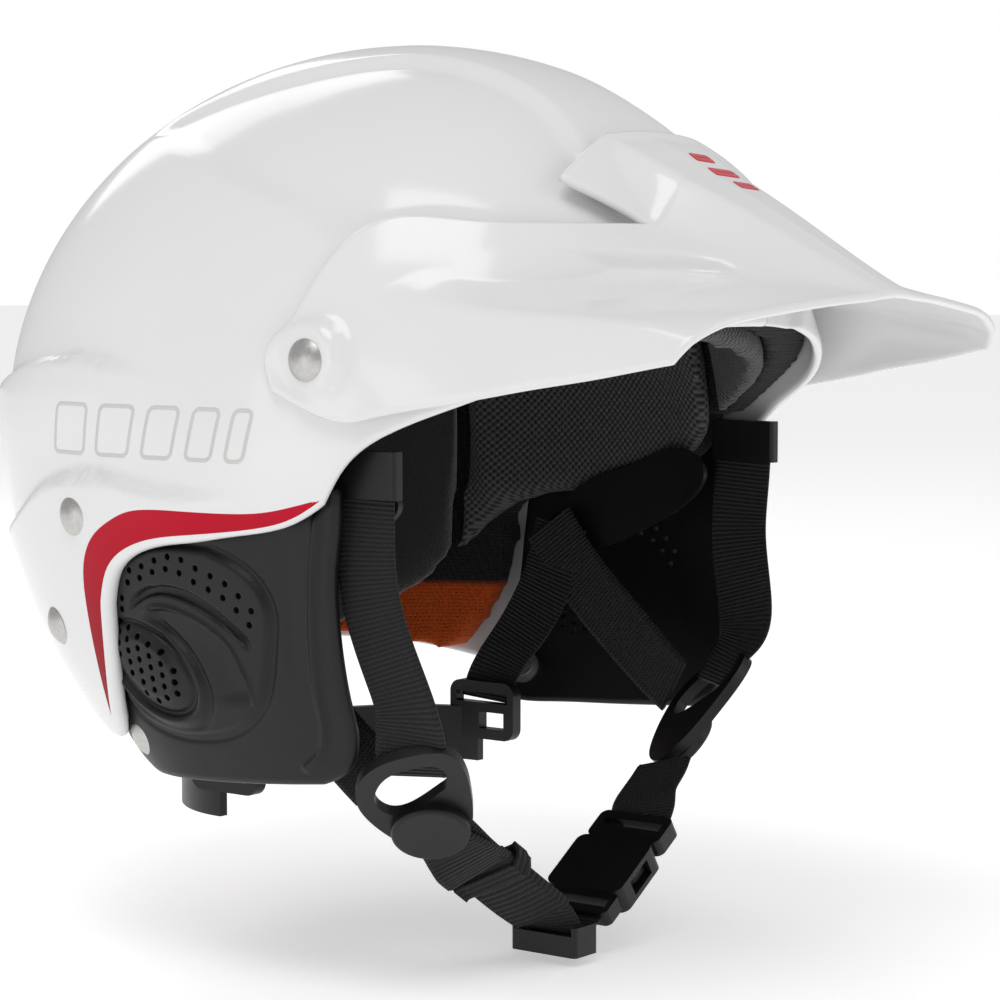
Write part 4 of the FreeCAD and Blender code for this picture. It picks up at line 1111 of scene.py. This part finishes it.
def build_chin_strap():
    """Folded strap end, folded webbing, knitted sleeve, and bare webbing turned through the lock."""
    sleeve = ribbon("chin_sleeve", [(chin(22), CHIN_ACROSS), (chin(34, sag=0.4), CHIN_ACROSS),
                                    (chin(46, sag=0.3), CHIN_ACROSS), (chin(53.5), CHIN_ACROSS)],
                    20.5, 2.6, rib=0.05, pitch=2.2, crown=1.0, taper=[0.93, 1.0, 1.0, 0.97])
    dress(sleeve, "chin_harness", "sleeve_black", "right_chin_strap")
    folded = ribbon("chin_fold", [(chin(-3, 0.2), CHIN_ACROSS), (chin(8, 0.4), CHIN_ACROSS),
                                  (chin(14, 1.2), CHIN_ACROSS), (chin(21, 1.5), CHIN_ACROSS),
                                  (chin(27, 1.2), CHIN_ACROSS)],
                    20.0, 2.2, rib=0.12, pitch=1.5)
    dress(folded, "chin_harness", "webbing_black")
    stations = [(chin(6.5, 3.0), CHIN_ACROSS), (chin(12.0, 3.4), (0.2, -0.87, 0.45)),
                (chin(17.5, 3.7), (0.26, -0.82, 0.5)), (chin(23, 3.2), (0.3, -0.8, 0.52))]
    flared = ribbon("chin_fold_end", stations, 20.0, 1.4, rib=0.1, pitch=1.5, taper=[0.86, 1.0, 1.1, 1.12])
    dress(flared, "chin_harness", "webbing_black")
    turn = ribbon("chin_turn", [(chin(50), CHIN_ACROSS), ((-20.8, -16.6, -165.6), (0.08, -0.97, 0.2)),
                                ((-16.6, -16.1, -169.0), (0, -1, 0)), ((-12.6, -15.7, -169.0), (0, -1, 0)),
                                ((-8.6, -15.5, -166.4), (0, -1, 0)), ((-4.5, -15.5, -163.2), (0, -1, 0))],
                   19.0, 1.3, rib=0.06)
    dress(turn, "chin_harness", "webbing_black")
    keeper = ribbon("keeper_band", [(chin(25.4, 0.2), CHIN_ACROSS), (chin(31.4, 0.2), CHIN_ACROSS)],
                    24.0, 7.4, rib=0.08, pitch=0.9, crown=0.3)
    hollow = ribbon("keeper_room", [(chin(20, 0.2), CHIN_ACROSS), (chin(36, 0.2), CHIN_ACROSS)],
                    22.2, 6.0, crown=0.3)
    boolean_cut(keeper, hollow)
    dress(keeper, "keeper", "sleeve_black", "strap_keeper")
    stations = [((54.5, -5.5, -129.6), (0.1, -0.93, 0.3)), ((50, -6.4, -132.6), (0.06, -0.95, 0.2)),
                ((39, -9.0, -137.6), (0, -0.98, 0.12)), ((31, -13.5, -140.8), (0, -1, 0)),
                ((26.0, -15.5, -143.8), (0, -1, 0))]
    left = ribbon("left_chin_webbing", stations, WEBBING_WIDTH, WEBBING_WALL, rib=0.08)
    blend_strap(left, "left_chin_strap")


build_chin_strap()


# ---------------------------------------------------------------- plain CAD parts, given their finishes

CAD_FINISHES = {
    "rivet_steel": ["visor_rivets", "harness_rivets", "guard_rivets", "rivet_backings"],
    "washer_nylon": ["visor_washers"],
    "fitting_black": ["right_harness_plate", "left_harness_plate", "right_strap_anchor", "left_strap_anchor",
                      "right_side_ring", "left_side_ring", "right_ring_cap", "left_ring_cap", "strap_lock",
                      "buckle_socket", "buckle_clip", "buckle_front_prong", "buckle_rear_prong",
                      "nape_cradle"],
}
for slot_name, members in CAD_FINISHES.items():
    for member in members:
        nodes[member].data.materials.clear()
        nodes[member].data.materials.append(FINISHES[slot_name])


# ---------------------------------------------------------------- pads

PAD_VOXEL = 3.2
PAD_TUCK = 0.6
PAD_PRESSURE = 4.0
PAD_FRAMES = 14
PAD_SWELL = 1.6
LINER_VOXEL = 2.2


def voxel_remesh(made, size):
    modifier = made.modifiers.new("even", "REMESH")
    modifier.mode = "VOXEL"
    modifier.voxel_size = size * MM
    bake_modifiers(made)


def inflate(made, pressure, frames, limit):
    """Lets a cloth skin swell from inside, with no gravity, and keeps each point near its start."""
    rest = np.zeros(len(made.data.vertices) * 3)
    made.data.vertices.foreach_get("co", rest)
    cloth = made.modifiers.new("cloth", "CLOTH")
    cloth.settings.use_pressure = True
    cloth.settings.uniform_pressure_force = pressure
    cloth.settings.effector_weights.gravity = 0.0
    cloth.settings.tension_stiffness = 12
    cloth.settings.compression_stiffness = 12
    cloth.settings.bending_stiffness = 0.3
    cloth.point_cache.frame_start = 1
    cloth.point_cache.frame_end = frames
    scene = bpy.context.scene
    for moment in range(1, frames + 1):
        scene.frame_set(moment)
    bake_modifiers(made)
    scene.frame_set(1)
    ended = np.zeros_like(rest)
    made.data.vertices.foreach_get("co", ended)
    travel = (ended - rest).reshape(-1, 3)
    length = np.linalg.norm(travel, axis=1, keepdims=True)
    travel *= np.minimum(1, limit * MM / np.maximum(length, 1e-9))
    made.data.vertices.foreach_set("co", (rest.reshape(-1, 3) + travel).ravel())
    made.data.update()


def build_pads():
    """Stuffed fabric panels: each CAD pad's skin, swollen a little and smoothed."""
    for node_name in ("brow_pad", "right_side_pad", "left_side_pad", "rear_pad", "crown_pad"):
        slot_name = "pad_fleece" if node_name == "rear_pad" else "pad_mesh"
        pad = bpy.data.objects.new(node_name + "_cloth", nodes[node_name].data.copy())
        bpy.context.scene.collection.objects.link(pad)
        voxel_remesh(pad, PAD_VOXEL)
        shrink = pad.modifiers.new("tuck", "DISPLACE")
        shrink.strength = -PAD_TUCK * MM
        shrink.mid_level = 0.0
        bake_modifiers(pad)
        inflate(pad, PAD_PRESSURE, PAD_FRAMES, PAD_SWELL)
        smooth = pad.modifiers.new("smooth", "SMOOTH")
        smooth.iterations = 6
        smooth.factor = 0.5
        fine = pad.modifiers.new("fine", "SUBSURF")
        fine.levels = 1
        fine.render_levels = 1
        bake_modifiers(pad)
        pad.data.polygons.foreach_set("use_smooth", [True] * len(pad.data.polygons))
        dress(pad, "helmet", slot_name, node_name)


def build_liner():
    liner = bpy.data.objects.new("liner_foam", nodes["impact_liner"].data.copy())
    bpy.context.scene.collection.objects.link(liner)
    voxel_remesh(liner, LINER_VOXEL)
    soften = liner.modifiers.new("soften", "SMOOTH")
    soften.iterations = 4
    soften.factor = 0.5
    bake_modifiers(liner)
    liner.data.polygons.foreach_set("use_smooth", [True] * len(liner.data.polygons))
    dress(liner, "helmet", "foam_black", "impact_liner")


build_pads()
build_liner()


# ---------------------------------------------------------------- studio

FLOOR_REACH = 9000.0
FLOOR_Z = -177
# Each lamp: name, place, size in metres and power in watts.
LAMPS = [("key", (-700, -300, 1500), 0.9, 9.0), ("front", (500, -1500, 600), 0.8, 2.5),
         ("back", (700, 1300, 900), 0.8, 3.0), ("side", (-1400, 300, 0), 0.7, 1.5)]
CAMERA_AZIMUTH = -52.782
CAMERA_ELEVATION = 4.612
CAMERA_PLACE = (-714.25, -525.07, 27.16)
CAMERA_LENS = 108.0
CAMERA_SENSOR = 36.0


def build_studio():
    made, tree, shader = new_material("studio_floor")
    place = coordinates(tree)
    tree.links.new(mixed(tree, noise(tree, place, 3.0), (0.9, 0.9, 0.9), (0.92, 0.92, 0.92)),
                   shader.inputs["Base Color"])
    set_inputs(shader, Roughness=0.6, Emission_Color=(1.0, 1.0, 1.0, 1.0), Emission_Strength=0.4)
    corners = [(x * FLOOR_REACH, y * FLOOR_REACH, FLOOR_Z) for x, y in ((-1, -1), (1, -1), (1, 1), (-1, 1))]
    floor = mesh_object("studio_floor", corners, [(0, 1, 2, 3)])
    floor.data.materials.append(made)
    world = bpy.data.worlds.new("studio")
    bpy.context.scene.world = world
    world.use_nodes = True
    tree = world.node_tree
    seen = add(tree, "ShaderNodeLightPath").outputs["Is Camera Ray"]
    strength = calculate(tree, "MULTIPLY_ADD", seen, 0.5, 0.5)
    tree.nodes["Background"].inputs[0].default_value = (1.0, 1.0, 1.0, 1.0)
    tree.links.new(strength, tree.nodes["Background"].inputs[1])
    aim = Vector((0, 30, -30)) * MM
    for name, place, size, power in LAMPS:
        light = bpy.data.lights.new(name, "AREA")
        light.energy = power
        light.size = size
        lamp = bpy.data.objects.new(name, light)
        bpy.context.scene.collection.objects.link(lamp)
        lamp.location = Vector(place) * MM
        lamp.rotation_mode = "QUATERNION"
        lamp.rotation_quaternion = (aim - lamp.location).to_track_quat("-Z", "Y")


def build_camera():
    azimuth, elevation = math.radians(CAMERA_AZIMUTH), math.radians(CAMERA_ELEVATION)
    right = Vector((math.cos(azimuth), math.sin(azimuth), 0))
    back = Vector((math.sin(azimuth) * math.cos(elevation), -math.cos(azimuth) * math.cos(elevation),
                   math.sin(elevation)))
    up = back.cross(right)
    lens = bpy.data.cameras.new("camera")
    lens.lens = CAMERA_LENS
    lens.sensor_width = CAMERA_SENSOR
    camera = bpy.data.objects.new("camera", lens)
    turn = Matrix((right, up, back)).transposed().to_4x4()
    camera.matrix_world = Matrix.Translation(Vector(CAMERA_PLACE) * MM) @ turn
    bpy.context.scene.collection.objects.link(camera)
    bpy.context.scene.camera = camera


build_studio()
build_camera()
bpy.context.scene.view_settings.view_transform = "Standard"
